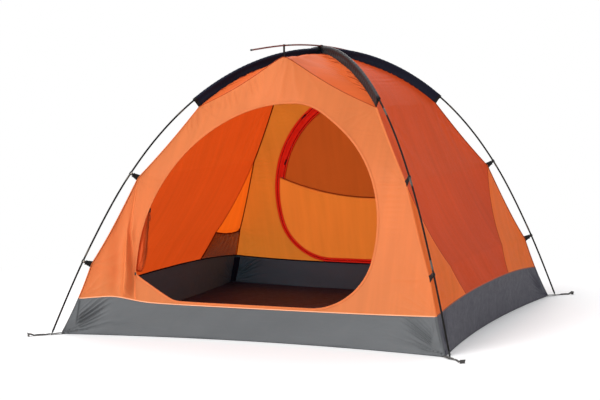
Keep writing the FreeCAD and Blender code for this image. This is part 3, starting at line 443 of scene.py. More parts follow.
class Shader:
    """The nodes of a material or world, added one at a time; inputs are numbers, colours or outputs."""

    def __init__(self, owner):
        owner.use_nodes = True
        self.owner, self.tree = owner, owner.node_tree
        self.tree.nodes.clear()

    def add(self, kind, inputs, output=0, **settings):
        node = self.tree.nodes.new("ShaderNode" + kind)
        for key, value in settings.items():
            setattr(node, key, value)
        for key, value in inputs.items():
            if isinstance(value, bpy.types.NodeSocket):
                self.tree.links.new(value, node.inputs[key])
            else:
                node.inputs[key].default_value = value
        return node.outputs[output] if node.outputs else None

    def noise(self, place, scale, detail, roughness=0.5):
        inputs = {"Vector": place, "Scale": scale, "Detail": detail, "Roughness": roughness}
        return self.add("TexNoise", inputs)

    def drawn_out(self, place, scale):
        return self.add("Mapping", {"Vector": place, "Scale": scale})

    def waves(self, place, pitch, direction):
        scale = math.pi / 10 / pitch  # a wave texture of scale 1 repeats every pi / 10
        return self.add("TexWave", {"Vector": place, "Scale": scale}, bands_direction=direction)

    def ramp(self, value, low, high, start, end):
        """value from low to high becomes start to end."""
        inputs = {"Value": value, "From Min": low, "From Max": high, "To Min": start, "To Max": end}
        return self.add("MapRange", inputs)

    def maths(self, operation, a, b):
        return self.add("Math", {0: a, 1: b}, operation=operation)

    def mix(self, share, a, b, blend="MIX"):
        return self.add("MixRGB", {"Fac": share, "Color1": a, "Color2": b}, blend_type=blend)

    def bump(self, height, distance, strength):
        return self.add("Bump", {"Height": height, "Distance": distance, "Strength": strength})

    def surface(self, base, rough, normal, gloss, **more):
        inputs = {"Base Color": base, "Roughness": rough, "Normal": normal, "Specular IOR Level": gloss}
        return self.add("BsdfPrincipled", {**inputs, **more})

    def blend(self, share, a, b):
        return self.add("MixShader", {0: share, 1: a, 2: b})

    def in_sight(self):
        """1 for what the camera sees by itself, in a gloss or through cloth, and 0 for other light."""
        rays = self.tree.nodes.new("ShaderNodeLightPath").outputs
        others = self.maths("MAXIMUM", rays["Is Glossy Ray"], rays["Is Transmission Ray"])
        return self.maths("MAXIMUM", rays["Is Camera Ray"], others)

    def end(self, surface, kind="Material"):
        self.add("Output" + kind, {"Surface": surface})
        return self.owner


def material_nodes(name, colour):
    """A new material's nodes, its flat place on the cloth, and its colour from a hex name."""
    s = Shader(bpy.data.materials.new(name))
    return s, s.add("UVMap", {}, uv_map="cloth"), rgb(colour)


WEAVE = 0.0008


def nylon(name, colour, glow, through, gloss=0.12, lower=None):
    """Thin tent cloth: plain weave, fine creases, and light that comes through from behind; lower, where
    given, is painted shade towards the bottom.
    """
    s, place, colour = material_nodes(name, colour)
    weave = s.maths("MAXIMUM", s.waves(place, WEAVE, "X"), s.waves(place, WEAVE, "Y"))
    cloud = s.noise(place, 1.7, 2.0)
    streak = s.noise(s.drawn_out(place, (9.0, 0.8, 1.0)), 2.2, 3.0)
    shade = s.ramp(s.maths("ADD", cloud, streak), 0.7, 1.3, 0.90, 1.05)
    grey = s.add("CombineColor", {"Red": shade, "Green": shade, "Blue": shade})
    dye_with_painted_shade = colour
    # painted shade: the colour fades down to lower at the bottom, darker and redder than the lit top
    if lower:
        height = s.add("SeparateXYZ", {0: s.add("NewGeometry", {}, "Position")}, 2)
        dye_with_painted_shade = s.mix(s.ramp(height, 0.45, 0.95, 0.0, 1.0), rgb(lower), colour)
    dyed_with_painted_shade = s.mix(1.0, dye_with_painted_shade, grey, "MULTIPLY")
    base = s.mix(s.ramp(weave, 0.0, 1.0, 0.0, 0.10), dyed_with_painted_shade, scaled(colour, 0.72))
    lit = s.mix(1.0, rgb(glow), grey, "MULTIPLY")
    crinkle = s.noise(place, 42.0, 5.0, 0.62)
    ripple = s.noise(place, 9.0, 3.0)
    threads = s.maths("MULTIPLY", weave, 0.12)
    height = s.maths("ADD", threads, s.maths("ADD", crinkle, s.maths("MULTIPLY", ripple, 2.0)))
    normal = s.bump(height, 0.0011, 0.55)
    front = s.surface(base, s.ramp(crinkle, 0.3, 0.7, 0.46, 0.58), normal, gloss)
    back = s.add("BsdfTranslucent", {"Color": lit, "Normal": normal})
    return s.end(s.blend(through, front, back))


def coated(name, colour, shine, pitch=0.0011, dust=0.0, gloss=0.2, streaks=0.16):
    """Heavier coated cloth that lets no light through."""
    s, place, colour = material_nodes(name, colour)
    weave = s.maths("MAXIMUM", s.waves(place, pitch, "X"), s.waves(place, pitch, "Y"))
    cloud = s.noise(place, 3.1, 4.0, 0.6)
    scuff = s.noise(s.drawn_out(place, (1.0, 14.0, 1.0)), 7.0, 4.0)
    base = s.mix(s.ramp(cloud, 0.35, 0.7, 0.0, 0.30), colour, scaled(colour, 0.80))
    base = s.mix(s.ramp(scuff, 0.56, 0.75, 0.0, streaks), base, scaled(colour, 1.35))
    if dust:
        base = s.mix(s.ramp(s.noise(place, 21.0, 6.0, 0.7), 0.5, 0.8, 0.0, dust), base, rgb("#8A7C70"))
    base = s.mix(s.ramp(weave, 0.0, 1.0, 0.0, 0.18), base, scaled(colour, 0.7))
    crinkle = s.noise(place, 30.0, 5.0, 0.6)
    height = s.maths("ADD", s.maths("MULTIPLY", weave, 0.2), crinkle)
    rough = s.ramp(crinkle, 0.3, 0.7, shine, shine + 0.16)
    return s.end(s.surface(base, rough, s.bump(height, 0.0010, 0.6), gloss))


def webbing(name, colour, pitch):
    """Ribbed tape: herringbone ribs, and fluff that wears paler."""
    s, place, colour = material_nodes(name, colour)
    ribs = s.waves(place, pitch, "DIAGONAL")
    threads = s.waves(place, pitch / 2, "X")
    height = s.maths("ADD", ribs, s.maths("MULTIPLY", threads, 0.5))
    worn = s.noise(place, 55.0, 4.0, 0.6)
    # darker where the ribs' height is low: painted shade in the hollows between them
    base = s.mix(s.ramp(height, 0.2, 1.3, 0.35, 0.0), colour, scaled(colour, 0.45))
    base = s.mix(s.ramp(worn, 0.55, 0.8, 0.0, 0.35), base, scaled(colour, 1.9))
    rough = s.ramp(worn, 0.3, 0.7, 0.62, 0.82)
    return s.end(s.surface(base, rough, s.bump(height, 0.0004, 0.8), 0.2))


def hard(name, colour, rough, metal=0.0, wear=0.25, gloss=0.4):
    """Moulded plastic, lacquered tube or metal, a little scratched and handled."""
    s, colour = Shader(bpy.data.materials.new(name)), rgb(colour)
    place = s.add("TexCoord", {}, "Object")
    fine = s.noise(place, 360.0, 4.0, 0.6)
    broad = s.noise(place, 18.0, 3.0)
    scratch = s.noise(s.drawn_out(place, (1.0, 1.0, 9.0)), 90.0, 5.0, 0.7)
    base = s.mix(s.ramp(broad, 0.35, 0.7, 0.0, 0.35), colour, scaled(colour, 0.7))
    base = s.mix(s.ramp(scratch, 0.58, 0.72, 0.0, wear), base, scaled(colour, 1.8))
    rough = s.ramp(fine, 0.3, 0.7, rough, rough + 0.16)
    return s.end(s.surface(base, rough, s.bump(fine, 0.00012, 0.7), gloss, Metallic=metal))


def netting(name, colour):
    """Knitted mesh with open holes."""
    s, place, colour = material_nodes(name, colour)
    holes = s.maths("MULTIPLY", s.waves(place, 0.0030, "X"), s.waves(place, 0.0030, "Y"))
    thread = s.noise(place, 300.0, 2.0)
    solid = s.ramp(holes, 0.60, 0.66, 1.0, 0.0)
    base = s.mix(s.ramp(thread, 0.3, 0.7, 0.0, 0.4), colour, scaled(colour, 0.6))
    front = s.surface(base, 0.7, s.bump(thread, 0.0003, 0.5), 0.5, **{"Sheen Weight": 0.2})
    gap = s.add("BsdfTransparent", {"Color": (1, 1, 1, 1)})
    return s.end(s.blend(solid, gap, front))


WALL = nylon("wall_nylon", "#E6864E", "#F08A28", 0.36)
# the side gussets' nylon is a brighter copy of the wall nylon: painted light on gussets that face away from
# the key lamp
GUSSET_PAINTED_LIGHT = nylon("gusset_nylon", "#FF8640", "#FF6C14", 0.42, 0.05)
# the side nylon's last colour is painted shade, darker and redder towards the bottom
SIDE = nylon("side_nylon", "#E25A28", "#F0581A", 0.36, 0.04, "#D2522C")
ROOF = nylon("roof_nylon", "#DA6634", "#F08050", 0.12, 0.02)
DOOR = nylon("door_nylon", "#EC8448", "#F8862E", 0.45)
WINDOW = nylon("window_nylon", "#C45A26", "#D46422", 0.34)
# the rolled door's nylon is a darker, redder copy of the wall nylon: painted shade
ROLL_PAINTED_SHADE = nylon("roll_nylon", "#E65E2A", "#EC5412", 0.30, 0.08)
TUB = coated("tub_fabric", "#5C5E60", 0.5, dust=0.06)
# a darker copy of the tub fabric for the band's sides: painted shade
TUB_PAINTED_SHADE = coated("tub_fabric_painted_shade", "#403F49", 0.5, dust=0.02, streaks=0.02)
# a darker copy of the piping for the band's sides: painted shade
PIPING_PAINTED_SHADE = coated("piping_fabric_painted_shade", "#9A4A2C", 0.5, 0.0009)
TUB_LINING = coated("tub_lining", "#597282", 0.5)
FLOOR = coated("floor_fabric", "#31344B", 0.5)
SLEEVE = coated("sleeve_fabric", "#171A2A", 0.6, 0.0009, gloss=0.12)
# a greyer copy of the sleeve fabric: painted light on the sleeves that face the light
SLEEVE_PAINTED_LIGHT = coated("sleeve_fabric_painted_light", "#2C2A2C", 0.5, 0.0009, gloss=0.25)
PIPING = coated("piping_fabric", "#FFB48A", 0.5, 0.0009)
SEAM = coated("seam_fabric", "#E67E48", 0.6, 0.0009, gloss=0.05)
# dark orange for the roof's tucks: painted shade in the gathers' creases
TUCK_PAINTED_SHADE = coated("tuck_fabric_painted_shade", "#A8431F", 0.6, 0.0009, gloss=0.05)
PEAK_SEAM = coated("peak_seam_fabric", "#A84420", 0.6, 0.0009, gloss=0.05)
SIDE_SEAM = coated("side_seam_fabric", "#C04822", 0.6, 0.0009, gloss=0.05)
DARK_SEAM = coated("dark_seam_fabric", "#6A2014", 0.6, 0.0009, gloss=0.05)
THREAD = webbing("seam_thread", "#D9581E", 0.0008)
DARK_THREAD = webbing("tub_thread", "#4A4A50", 0.0008)
RED_TAPE = nylon("zip_tape", "#F65644", "#FF5834", 0.44, 0.06)
WALL_TAPE = nylon("wall_tape", "#E6864E", "#F08A28", 0.36)
BLACK_WEBBING = webbing("webbing", "#161618", 0.0024)
GREY_WEBBING = webbing("corner_webbing", "#4E4C4A", 0.0024)
POLE = hard("pole_tube", "#12110F", 0.50, wear=0.2, gloss=0.1)
FERRULE = hard("ferrule_metal", "#4A4740", 0.35, metal=0.4)
RIDGE = hard("ridge_tube", "#6A2219", 0.45, gloss=0.15)
BLACK = hard("black_plastic", "#161616", 0.44, gloss=0.3)
CLIP = hard("clip_plastic", "#1E1E1E", 0.42, gloss=0.3)
PALE_CLIP = hard("pale_plastic", "#A8A59C", 0.4)
BRIGHT = hard("bright_metal", "#C8C6C0", 0.20, metal=1.0)
ZIP_METAL = hard("zip_metal", "#141416", 0.40, gloss=0.25)
RED_TEETH = hard("red_teeth", "#A81814", 0.7, gloss=0.05)
ORANGE_TEETH = hard("orange_teeth", "#E87840", 0.6, gloss=0.1)
MESH = netting("pocket_mesh", "#5A241C")
CORD = webbing("cord_cover", "#3A3030", 0.0012)


# ---------------------------------------------------------------- poles and seams
LAST = ring_centres("main_pole_over", unit((1, -1, 0)))[-1]
PLAN = unit((abs(LAST[0]), abs(LAST[1]), 0))


def arm_direction(arm):
    return PLAN * (*ARMS[arm], 0.0)


def arm_stations(arm):
    """Points along the arm's pole as (out, height), from the crossing to the foot."""
    direction = arm_direction(arm)
    centres = ring_centres(POLE_NODE[arm], direction)
    out = centres @ direction
    keep = out > -0.01
    return columns(out[keep], centres[keep, 2])


POLES = {arm: Line(arm_stations(arm)) for arm in ARMS}
MEAN = Line((arm_stations("front_right") + arm_stations("rear_right")) / 2)
POLE_R = node_points("main_pole_over")[:, 2].max() - POLES["front_right"].points[0, 1]


def square_to(line, s):
    """Outwards from a pole at s, as (out, height)."""
    heading = line.heading(s)
    return columns(-heading[..., 1], heading[..., 0])


def seam_sag(s):
    """How far the corner seam hangs in between the places that hold it."""
    spans = zip((SLEEVE_END,) + CLIP_STATIONS, CLIP_STATIONS + (MEAN.length,), SEAM_SAG)
    total = 0.0
    for start, end, depth in spans:
        share = np.clip((s - start) / (end - start), 0, 1)
        total = total + depth * 4 * share * (1 - share)
    return total


def gathered(s):
    """Where the sleeve's gathers pull at the roof: about 1 on each, nothing away from them."""
    where = smooth(s, 0.05, 0.12) * (1 - smooth(s, 0.56, 0.70))
    return where * (crest(s / GATHER + 1.6 * uneven(s, 0.17, 61), 2.2) - 0.30)


def seam_flat(s):
    """The corner seam under the mean pole, as (out, height)."""
    s = np.asarray(s, float)
    offset = SEAM_OFFSET - SEAM_RISE * (1 - smooth(s, 0.0, 0.34)) + seam_sag(s) - 0.0026 * gathered(s)
    return MEAN.at(s) - offset[..., None] * square_to(MEAN, s)


def on_arm(arm, flat):
    """(out, height) in the plane of an arm, as points of the frame."""
    return flat[..., :1] * arm_direction(arm) + flat[..., 1:] * UP


def seam(arm, s):
    return on_arm(arm, seam_flat(s))


def pole_at(arm, s):
    return on_arm(arm, POLES[arm].at(s))


def outwards(arm, s):
    return on_arm(arm, square_to(MEAN, np.asarray(s, float)))


def seam_at_height(height):
    """The place on a corner seam where it passes a height."""
    s = np.linspace(SLEEVE_END, MEAN.length + 0.1, 4000)
    heights = seam_flat(s)[:, 1]
    return float(np.interp(-height, -heights, s))


TUB_CORNER = seam_at_height(BAND_CORNER_Z)
FLOOR_CORNER = seam_at_height(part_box("groundsheet")[1][2])


# ---------------------------------------------------------------- the side walls
def corner_xyz(s):
    """A point of the rear right corner seam; the other corners only differ in sign."""
    return np.abs(seam("rear_right", s))


CROWN_X, CROWN_Y, CROWN_Z = (float(x) for x in corner_xyz(CROWN_REACH))
TUB_X, TUB_Y, TUB_CORNER_Z = (float(x) for x in corner_xyz(TUB_CORNER))
TUB_SIDE_LIFT = float(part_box("tub_wall_right")[1][2]) - TUB_CORNER_Z

# Where a side wall is pulled: a place on its corner seams, how deep the folds are, how far down their
# middle points, how wide they fan (both in degrees), how many they are, how far they reach, a seed.
SIDE_PULLS = ((CLIP_STATIONS[0], 0.0050, 35, 42, 3.0, 0.50, 11),
              (CLIP_STATIONS[1], 0.0035, 0, 50, 3.0, 0.34, 14),
              (SLEEVE_END, 0.0035, -60, 40, 2.5, 0.45, 17),
              (TUB_CORNER, 0.0030, 25, 40, 4.0, 0.30, 20))


def side_point(s, t):
    """The right side wall: s picks the row by its place on the corner seams, t runs front to rear."""
    s, t = np.broadcast_arrays(np.asarray(s, float), np.asarray(t, float))
    corner = corner_xyz(s)
    up_share = (TUB_CORNER - s) / (TUB_CORNER - CROWN_REACH)
    arch = 1 - np.abs(2 * t - 1) ** 2.4
    bow = TUB_BOW_SIDE * (corner[..., 1] - CROWN_Y) / (TUB_Y - CROWN_Y)
    lift = TUB_SIDE_LIFT * np.clip(1 - up_share / LIFT_FADE, 0, 1) ** 2
    return columns(corner[..., 0] - bow * arch, corner[..., 1] * (2 * t - 1), corner[..., 2] + lift * arch)


def gusset_edge(insets, end, s):
    """Where a side gusset's seam crosses row s, as its place between the front (0) and rear (1) corner."""
    foot_inset, mid_inset, mid_z = insets
    top = corner_xyz(CLIP_STATIONS[0])
    heights = (TUB_CORNER_Z, mid_z, top[2])
    curve = np.polyfit(heights, (TUB_Y - foot_inset, TUB_Y - mid_inset, top[1]), 2)
    corner = corner_xyz(s)
    share = np.clip(np.polyval(curve, corner[..., 2]) / corner[..., 1], 0, 1)
    share = np.where(np.asarray(s) <= CLIP_STATIONS[0], 1.0, share)
    return 0.5 + end * share / 2


def turn_half(points):
    """Points turned by half about the middle of the tent."""
    return points * np.array([-1.0, -1.0, 1.0])


def side_folds(points):
    """Tension folds of the right side wall, square to it."""
    y, z = points[..., 1], points[..., 2]
    folds = 0.0022 * cloth_noise(y, z, 0.42, 5)
    for end, inward in ((-1, 0), (1, 180)):
        for place, depth, down, spread, count, reach, seed in SIDE_PULLS:
            corner = corner_xyz(place)
            at = (end * corner[1], corner[2])
            folds = folds + depth * fan(y, z, at, inward - end * down, spread, count, reach, seed + end)
    return folds + 0.0016 * np.sin(y / 0.055 + 1.5 * uneven(z, 0.5, 8)) * hump(z, 0.3, 0.18)


def side_piece(kind, place, edges, size, top, material, slot, bulge=0.0):
    """A part of a side wall between two seams, from the band up to row top of the corner seams."""
    s = np.linspace(TUB_CORNER, top, size[0])[:, None]
    share = np.linspace(0, 1, size[1])[None]
    points = side_point(s, edges[0](s) * (1 - share) + edges[1](s) * share)
    folds = smooth(from_edges(points), 0, 0.05) * (side_folds(points) + bulge)
    points = points + surface_normals(points, RIGHT) * folds[..., None]
    if place.endswith("left"):
        points = turn_half(points)
    cloth(kind + "_cloth_" + place, points, material, slot, (kind + "_" + place,))


def front_edge(s):
    """The seam between a side panel and its long gusset."""
    return gusset_edge(GUSSET_LONG, -1, s)


def rear_edge(s):
    """The seam between a side panel and its short gusset."""
    return gusset_edge(GUSSET_SHORT, 1, s)


def both_sides():
    """The two side walls with their corner gussets; the left one is the right one turned by half."""
    # the gussets take the brighter copy of the wall nylon, painted light
    gusset = ((90, 40), CLIP_STATIONS[0], GUSSET_PAINTED_LIGHT, "gusset_nylon")
    for side, long_end, short_end in (("right", "front_right", "rear_right"),
                                      ("left", "rear_left", "front_left")):
        side_piece("side_panel", side, (front_edge, rear_edge), (170, 120), CROWN_REACH, SIDE, "side_nylon")
        side_piece("side_gusset", long_end, (np.zeros_like, front_edge), *gusset, LONG_GUSSET_BULGE)
        side_piece("side_gusset", short_end, (rear_edge, np.ones_like), *gusset)


# ---------------------------------------------------------------- the end walls
SWING = next(joint for joint in frame["joints"] if joint["name"] == "rear_door_swing")
SEWN_U = -abs(SWING["pos_m"][0])
WALL_ORIGIN = np.array([0.0, -SWING["pos_m"][1], SWING["pos_m"][2]])
WALL_UP = unit((0.0, abs(SWING["axis"][1]), abs(SWING["axis"][2])))
WALL_OUT = np.array([0.0, -WALL_UP[2], WALL_UP[1]])
PEAK = np.array([0.0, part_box("roof_panel_front")[0][1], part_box("front_wall_panel")[1][2]])
WALL_HEIGHT = float((PEAK - WALL_ORIGIN) @ WALL_UP)
GUSSET_FOOT = (SEWN_U + 0.030) / TUB_X  # as a share of the band's half width

# Where the front wall is pulled, on its right: which way in degrees, how wide, how many folds, how far.
WALL_PULLS = ((215, 50, 4, 0.30), (180, 45, 3, 0.26), (180, 50, 3, 0.24), (150, 35, 4, 0.22))


def wall_point(u, v, n=0.0):
    """A point of the front wall from its place across and up the wall, and out of it."""
    u, v, n = np.broadcast_arrays(np.asarray(u, float), v, n)
    return WALL_ORIGIN + u[..., None] * RIGHT + v[..., None] * WALL_UP + n[..., None] * WALL_OUT


def wall_place(points):
    """How far across, up and out of the front wall points are: wall_point the other way."""
    offset = points - WALL_ORIGIN
    return offset[..., 0], offset @ WALL_UP, offset @ WALL_OUT


def door_arcs():
    """Centre, radius, first and last direction in degrees of each arc of the doorway's outline."""
    arcs = []
    height = WALL_HEIGHT - DOOR_TOP_GAP - DOOR_BOTTOM
    u, v = DOOR_BOTTOM_SHARE * height, DOOR_BOTTOM
    facing = -90.0
    for share, turn in DOOR_ARCS:
        radius = share * height
        cu = u - radius * math.cos(math.radians(facing))
        cv = v - radius * math.sin(math.radians(facing))
        arcs.append(((cu, cv), radius, facing, facing + turn))
        facing += turn
        u = cu + radius * math.cos(math.radians(facing))
        v = cv + radius * math.sin(math.radians(facing))
    arcs.append(((u + DOOR_SEWN_CORNER, DOOR_BOTTOM + DOOR_SEWN_CORNER), DOOR_SEWN_CORNER, 180.0, 270.0))
    return arcs


DOOR_OUTLINE = door_arcs()


def outline(grow, step=0.008):
    """The doorway's outline moved out by grow: a closed loop of (across, up) points."""
    loop = []
    for (cu, cv), radius, first, last in DOOR_OUTLINE:
        count = max(int(radius * math.radians(last - first) / step), 4)
        angles = np.radians(np.linspace(first, last, count))
        loop += [(cu + (radius + grow) * math.cos(a), cv + (radius + grow) * math.sin(a)) for a in angles]
    loop.append(loop[0])
    full = [loop[0]]
    for (au, av), (bu, bv) in zip(loop, loop[1:]):
        runs = max(int(math.dist((au, av), (bu, bv)) / step), 1)
        full += [(au + (bu - au) * i / runs, av + (bv - av) * i / runs) for i in range(1, runs + 1)]
    return np.array(full[:-1])


def doorway(grow):
    """The open doorway's edge: the outline, slack at the top right and cut across at its sewn corner."""
    soft = 0.014
    loop = outline(grow)
    share, where, wide = ARCH_SLACK
    hang = 1 - share * hump(np.degrees(turn_about(loop)), where, wide)
    loop = DOOR_MIDDLE + (loop - DOOR_MIDDLE) * hang[:, None]
    beyond = loop @ np.array(SILL_FACING) - SILL_CUT - grow
    back = (beyond + np.sqrt(beyond**2 + soft**2)) / 2
    return loop - back[:, None] * np.array(SILL_FACING)


def turn_about(loop):
    """Directions of (across, up) points from the door's middle."""
    return np.arctan2(loop[:, 1] - DOOR_MIDDLE[1], loop[:, 0] - DOOR_MIDDLE[0])


def by_turn(loop_turns, values, turns):
    """A closed loop's values at given directions from the door's middle."""
    order = np.argsort(loop_turns)
    a, b = loop_turns[order], np.asarray(values)[order]
    a = np.concatenate([a[-1:] - 2 * math.pi, a, a[:1] + 2 * math.pi])
    return read(np.concatenate([b[-1:], b, b[:1]]), a, turns)


def loop_by_turn(loop, turns):
    """A loop of (across, up) points read at given directions from the door's middle."""
    return by_turn(turn_about(loop), loop, turns)


def roof_row(share, u):
    """A row of the front roof, from the front edge (0) to the crown (1); u runs from -1 to 1."""
    s = SLEEVE_END + (CROWN_REACH - SLEEVE_END) * np.asarray(share, float)
    right = seam("front_right", s)
    left = right * np.array([-1.0, 1.0, 1.0])
    crown = np.array([0.0, -CROWN_Y, CROWN_Z])
    ridge = PEAK + (crown - PEAK) * np.asarray(share, float)[..., None]
    u = np.asarray(u, float)[..., None]
    sag = PEAK_SAG * np.sin(math.pi * np.abs(u)) * (1 - np.asarray(share, float)[..., None]) ** 3
    chord = left * (1 - u) / 2 + right * (1 + u) / 2 - sag * UP
    e = RIDGE_ROUND
    rise = 1 - (np.sqrt(u**2 + e**2) - e) / (math.sqrt(1 + e**2) - e)
    return chord + rise * (ridge - (left + right) / 2)


def peak_edge(u):
    """The roof's front edge, over the peak; u runs from -1 to 1."""
    return roof_row(np.zeros_like(u), u)


def tub_top_front(t):
    """The top edge of the front band; t runs from -1 at the left corner to 1."""
    mid_z = float(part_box("front_wall_panel")[0][2])
    mid_y = -WALL_ORIGIN[1] + (WALL_ORIGIN[2] - mid_z) * WALL_UP[1] / WALL_UP[2]
    bend = np.abs(t) ** TUB_TOP_POWER
    lift = TUB_LIFT * hump(t, -0.80, 0.13) * smooth(1 + t, 0, 0.06)
    y, z = mid_y + (TUB_Y - mid_y) * bend, mid_z + (TUB_CORNER_Z - mid_z) * bend + lift
    return columns(TUB_X * t, -y, z)


def gusset_seam():
    """From the band's top edge up beside the doorway's sewn side and on to the upper left clip."""
    count = 60
    foot = tub_top_front(np.array([GUSSET_FOOT]))[0]
    foot_u, foot_v, foot_n = wall_place(foot)
    v = np.linspace(foot_v, DOOR_OUTLINE[3][0][1] + GUSSET_RISE, count)
    n = (foot_n + SKIN_BACK) * (1 - smooth(v, foot_v, foot_v + 0.12)) - SKIN_BACK
    lower = wall_point(foot_u - GUSSET_SLANT * (v - foot_v), v, n)
    clip = seam("front_left", CLIP_STATIONS[0])
    share = np.linspace(0, 1, count // 2)[:, None]
    return np.concatenate([lower[:-1], lower[-1] * (1 - share) + clip * share])


def wall_border():
    """The front wall's outer edge as a loop, without its left gusset, starting up that gusset's seam."""
    left = seam("front_left", np.linspace(CLIP_STATIONS[0], SLEEVE_END, 70))
    top = peak_edge(np.linspace(-1, 1, 121))
    right = seam("front_right", np.linspace(SLEEVE_END, TUB_CORNER, 160))
    bottom = tub_top_front(np.linspace(1, GUSSET_FOOT, 150))
    return np.concatenate([edge[:-1] for edge in (gusset_seam(), left, top, right, bottom)])


BORDER = wall_border()
BORDER_TURNS = turn_about(columns(*wall_place(BORDER)[:2]))


def wall_grid(door):
    """Rows run round the doorway, from its edge out to the border."""
    even = np.linspace(-math.pi, math.pi, 240, endpoint=False)
    turns = np.sort(np.concatenate([even, BORDER_TURNS]))
    turns = turns[np.concatenate([[True], np.diff(turns) > 2e-3])]
    inner_uv = loop_by_turn(door, turns)
    inner = wall_point(inner_uv[:, 0], inner_uv[:, 1], -SKIN_BACK)
    outer = by_turn(BORDER_TURNS, BORDER, turns)
    share = np.linspace(0, 1, 56)[:, None, None]
    return inner[None] * (1 - share) + outer[None] * share


def wall_folds(u, v, border, door, pleat):
    """Tension folds of the front wall, out of it. border and door are distances to those edges."""
    folds = 0.0014 * cloth_noise(u, v, 0.30, 31)
    folds = folds + 0.0036 * fan(u, v, (0.02, WALL_HEIGHT + 0.05), -92, 50, 5.0, 0.36, 32)
    at_u, at_v, _ = wall_place(seam("front_right", np.array([SLEEVE_END, *CLIP_STATIONS, TUB_CORNER])))
    for i, (towards, *kind) in enumerate(WALL_PULLS):
        folds = folds + 0.0030 * fan(u, v, (at_u[i], at_v[i]), towards, *kind, 40 + i)
        folds = folds + 0.0036 * fan(u, v, (-at_u[i], at_v[i]), 180 - towards, *kind, 50 + i)
    # fine gathers under the roof's edge at the upper left
    slant = u * 0.90 + v * 0.44
    gathers = hump(border, 0.055, 0.050) * smooth(-u, 0.06, 0.16) * smooth(v, 0.80, 0.92)
    folds = folds + 0.0075 * gathers * (crest(slant / 0.0062 + 1.6 * uneven(slant, 0.21, 36), 1.2) - 0.5)
    # fine puckers to the right of the doorway
    beside = hump(u, 0.64, 0.10) * hump(v, 0.56, 0.20) + 0.8 * hump(u, 0.46, 0.12) * hump(v, 0.90, 0.09)
    folds = folds + 0.0011 * beside * np.sin(v / 0.0042 + 1.1 * uneven(v, 0.13, 35) + 4 * u)
    # one deep crease up the left gusset
    middle = -0.678 - 0.12 * (v - 0.10)
    crease = pleat * smooth(v, -0.04, 0.05) * (1 - smooth(v, 0.14, 0.46))
    folds = folds + crease * (0.042 * hump(u, middle, 0.022) - 0.012 * hump(u, middle - 0.060, 0.030))
    return folds * smooth(border, 0, 0.02) * smooth(door, 0, 0.05)


def end_walls():
    """Both end walls: the panel round the doorway, and the gusset on its sewn side."""
    right = gusset_seam()
    left = seam("front_left", np.linspace(TUB_CORNER, CLIP_STATIONS[0], len(right)))
    bottom = tub_top_front(np.linspace(-1, GUSSET_FOOT, 60))
    gusset = coons(bottom, np.repeat(left[-1:], 60, axis=0), left, right)
    for end, door, pleat in (("front", doorway(TAPE / 2), 1.0), ("rear", outline(TAPE), 0.2)):
        panel = wall_grid(door)
        out = lengths(panel, 0)
        for part, grid, border, inner, wrap in (
                ("panel", panel, out[-1:] - out, out, True),
                ("gusset", gusset, from_edges(gusset, "lrb"), np.ones(gusset.shape[:2]), False)):
            u, v, _ = wall_place(grid)
            points = grid + wall_folds(u, v, border, inner, pleat)[..., None] * WALL_OUT
            name = end + ("_wall_cloth" if wrap else "_wall_gusset_cloth")
            cloth(name, points if end == "front" else turn_half(points), WALL, "wall_nylon",
                  (end + "_wall_" + part,), uv=columns(u, v), wrap=wrap)


# ---------------------------------------------------------------- roof, floor and band
def roof_folds(points, share):
    """Puckers gathered along the sleeves, square to them."""
    side_gap = lengths(points, 1)
    gap = np.minimum(side_gap, side_gap[:, -1:] - side_gap)
    s = SLEEVE_END + (CROWN_REACH - SLEEVE_END) * share
    pucker = gathered(s + gap * 0.30) * hump(gap, 0.008, 0.055 + 0.03 * uneven(s, 0.05, 63))
    return -0.0180 * pucker + 0.0025 * cloth_noise(points[..., 0], points[..., 1], 0.22, 62)


def roof_panels():
    """Both halves of the roof, the rear one the front one turned by half."""
    share = np.linspace(0, 1, 210)[:, None]
    u = np.sin(np.linspace(-1, 1, 161) * math.pi / 2)[None]
    share, u = np.broadcast_arrays(share, u)
    points = roof_row(share, u)
    folds = roof_folds(points, share) * smooth(from_edges(points), 0, 0.007)
    points = points + surface_normals(points, UP) * folds[..., None]
    tucks = Parts()
    for end in ("front", "rear"):
        cloth("roof_cloth_" + end, points, ROOF, "roof_nylon", ("roof_panel_" + end,))
        roof_tucks_painted_shade(tucks, points)
        points = turn_half(points)
    # the tucks' dark orange is painted shade
    tucks.make("roof_tucks_painted_shade", TUCK_PAINTED_SHADE, slot="roof_nylon")


def roof_tucks_painted_shade(tucks, points):
    """The doubled cloth of each gather, tapering out from the sleeve's seam, coloured dark orange as painted
    shade in its crease.
    """
    least_pull = 0.25
    base, top, height, sunk = 0.0064, 0.0014, 0.0040, 0.001
    pull = gathered(np.linspace(SLEEVE_END, CROWN_REACH, len(points)))
    normals = surface_normals(points, UP)
    before, here, after = pull[:-2], pull[1:-1], pull[2:]
    for i in np.nonzero((here > np.maximum(before, least_pull)) & (here >= after))[0] + 1:
        reach = 0.066 + 0.026 * math.sin(9.1 * i)
        at = np.linspace(0.0, reach, 12)
        section = [[(-base * w, -sunk), (-top * w, height * w), (top * w, height * w), (base * w, -sunk)]
                   for w in (1 - at / reach) ** 0.8 + 0.06]
        for way in (1, -1):
            row = points[i, ::way]
            gap = line_lengths(row)
            tucks.rings(sweep(read(row, gap, at), section, read(normals[i, ::way], gap, at)))


def crown():
    """The patch at the very top, under the crossing."""
    x, y = np.meshgrid(np.linspace(-CROWN_X, CROWN_X, 25), np.linspace(-CROWN_Y, CROWN_Y, 25))
    inner = (1 - (x / CROWN_X) ** 2) * (1 - (y / CROWN_Y) ** 2)
    z = CROWN_Z + 0.0015 * inner * cloth_noise(x, y, 0.05, 71)
    cloth("crown_patch_cloth", columns(x, y, z), SLEEVE, "roof_nylon", ("crown_patch",))


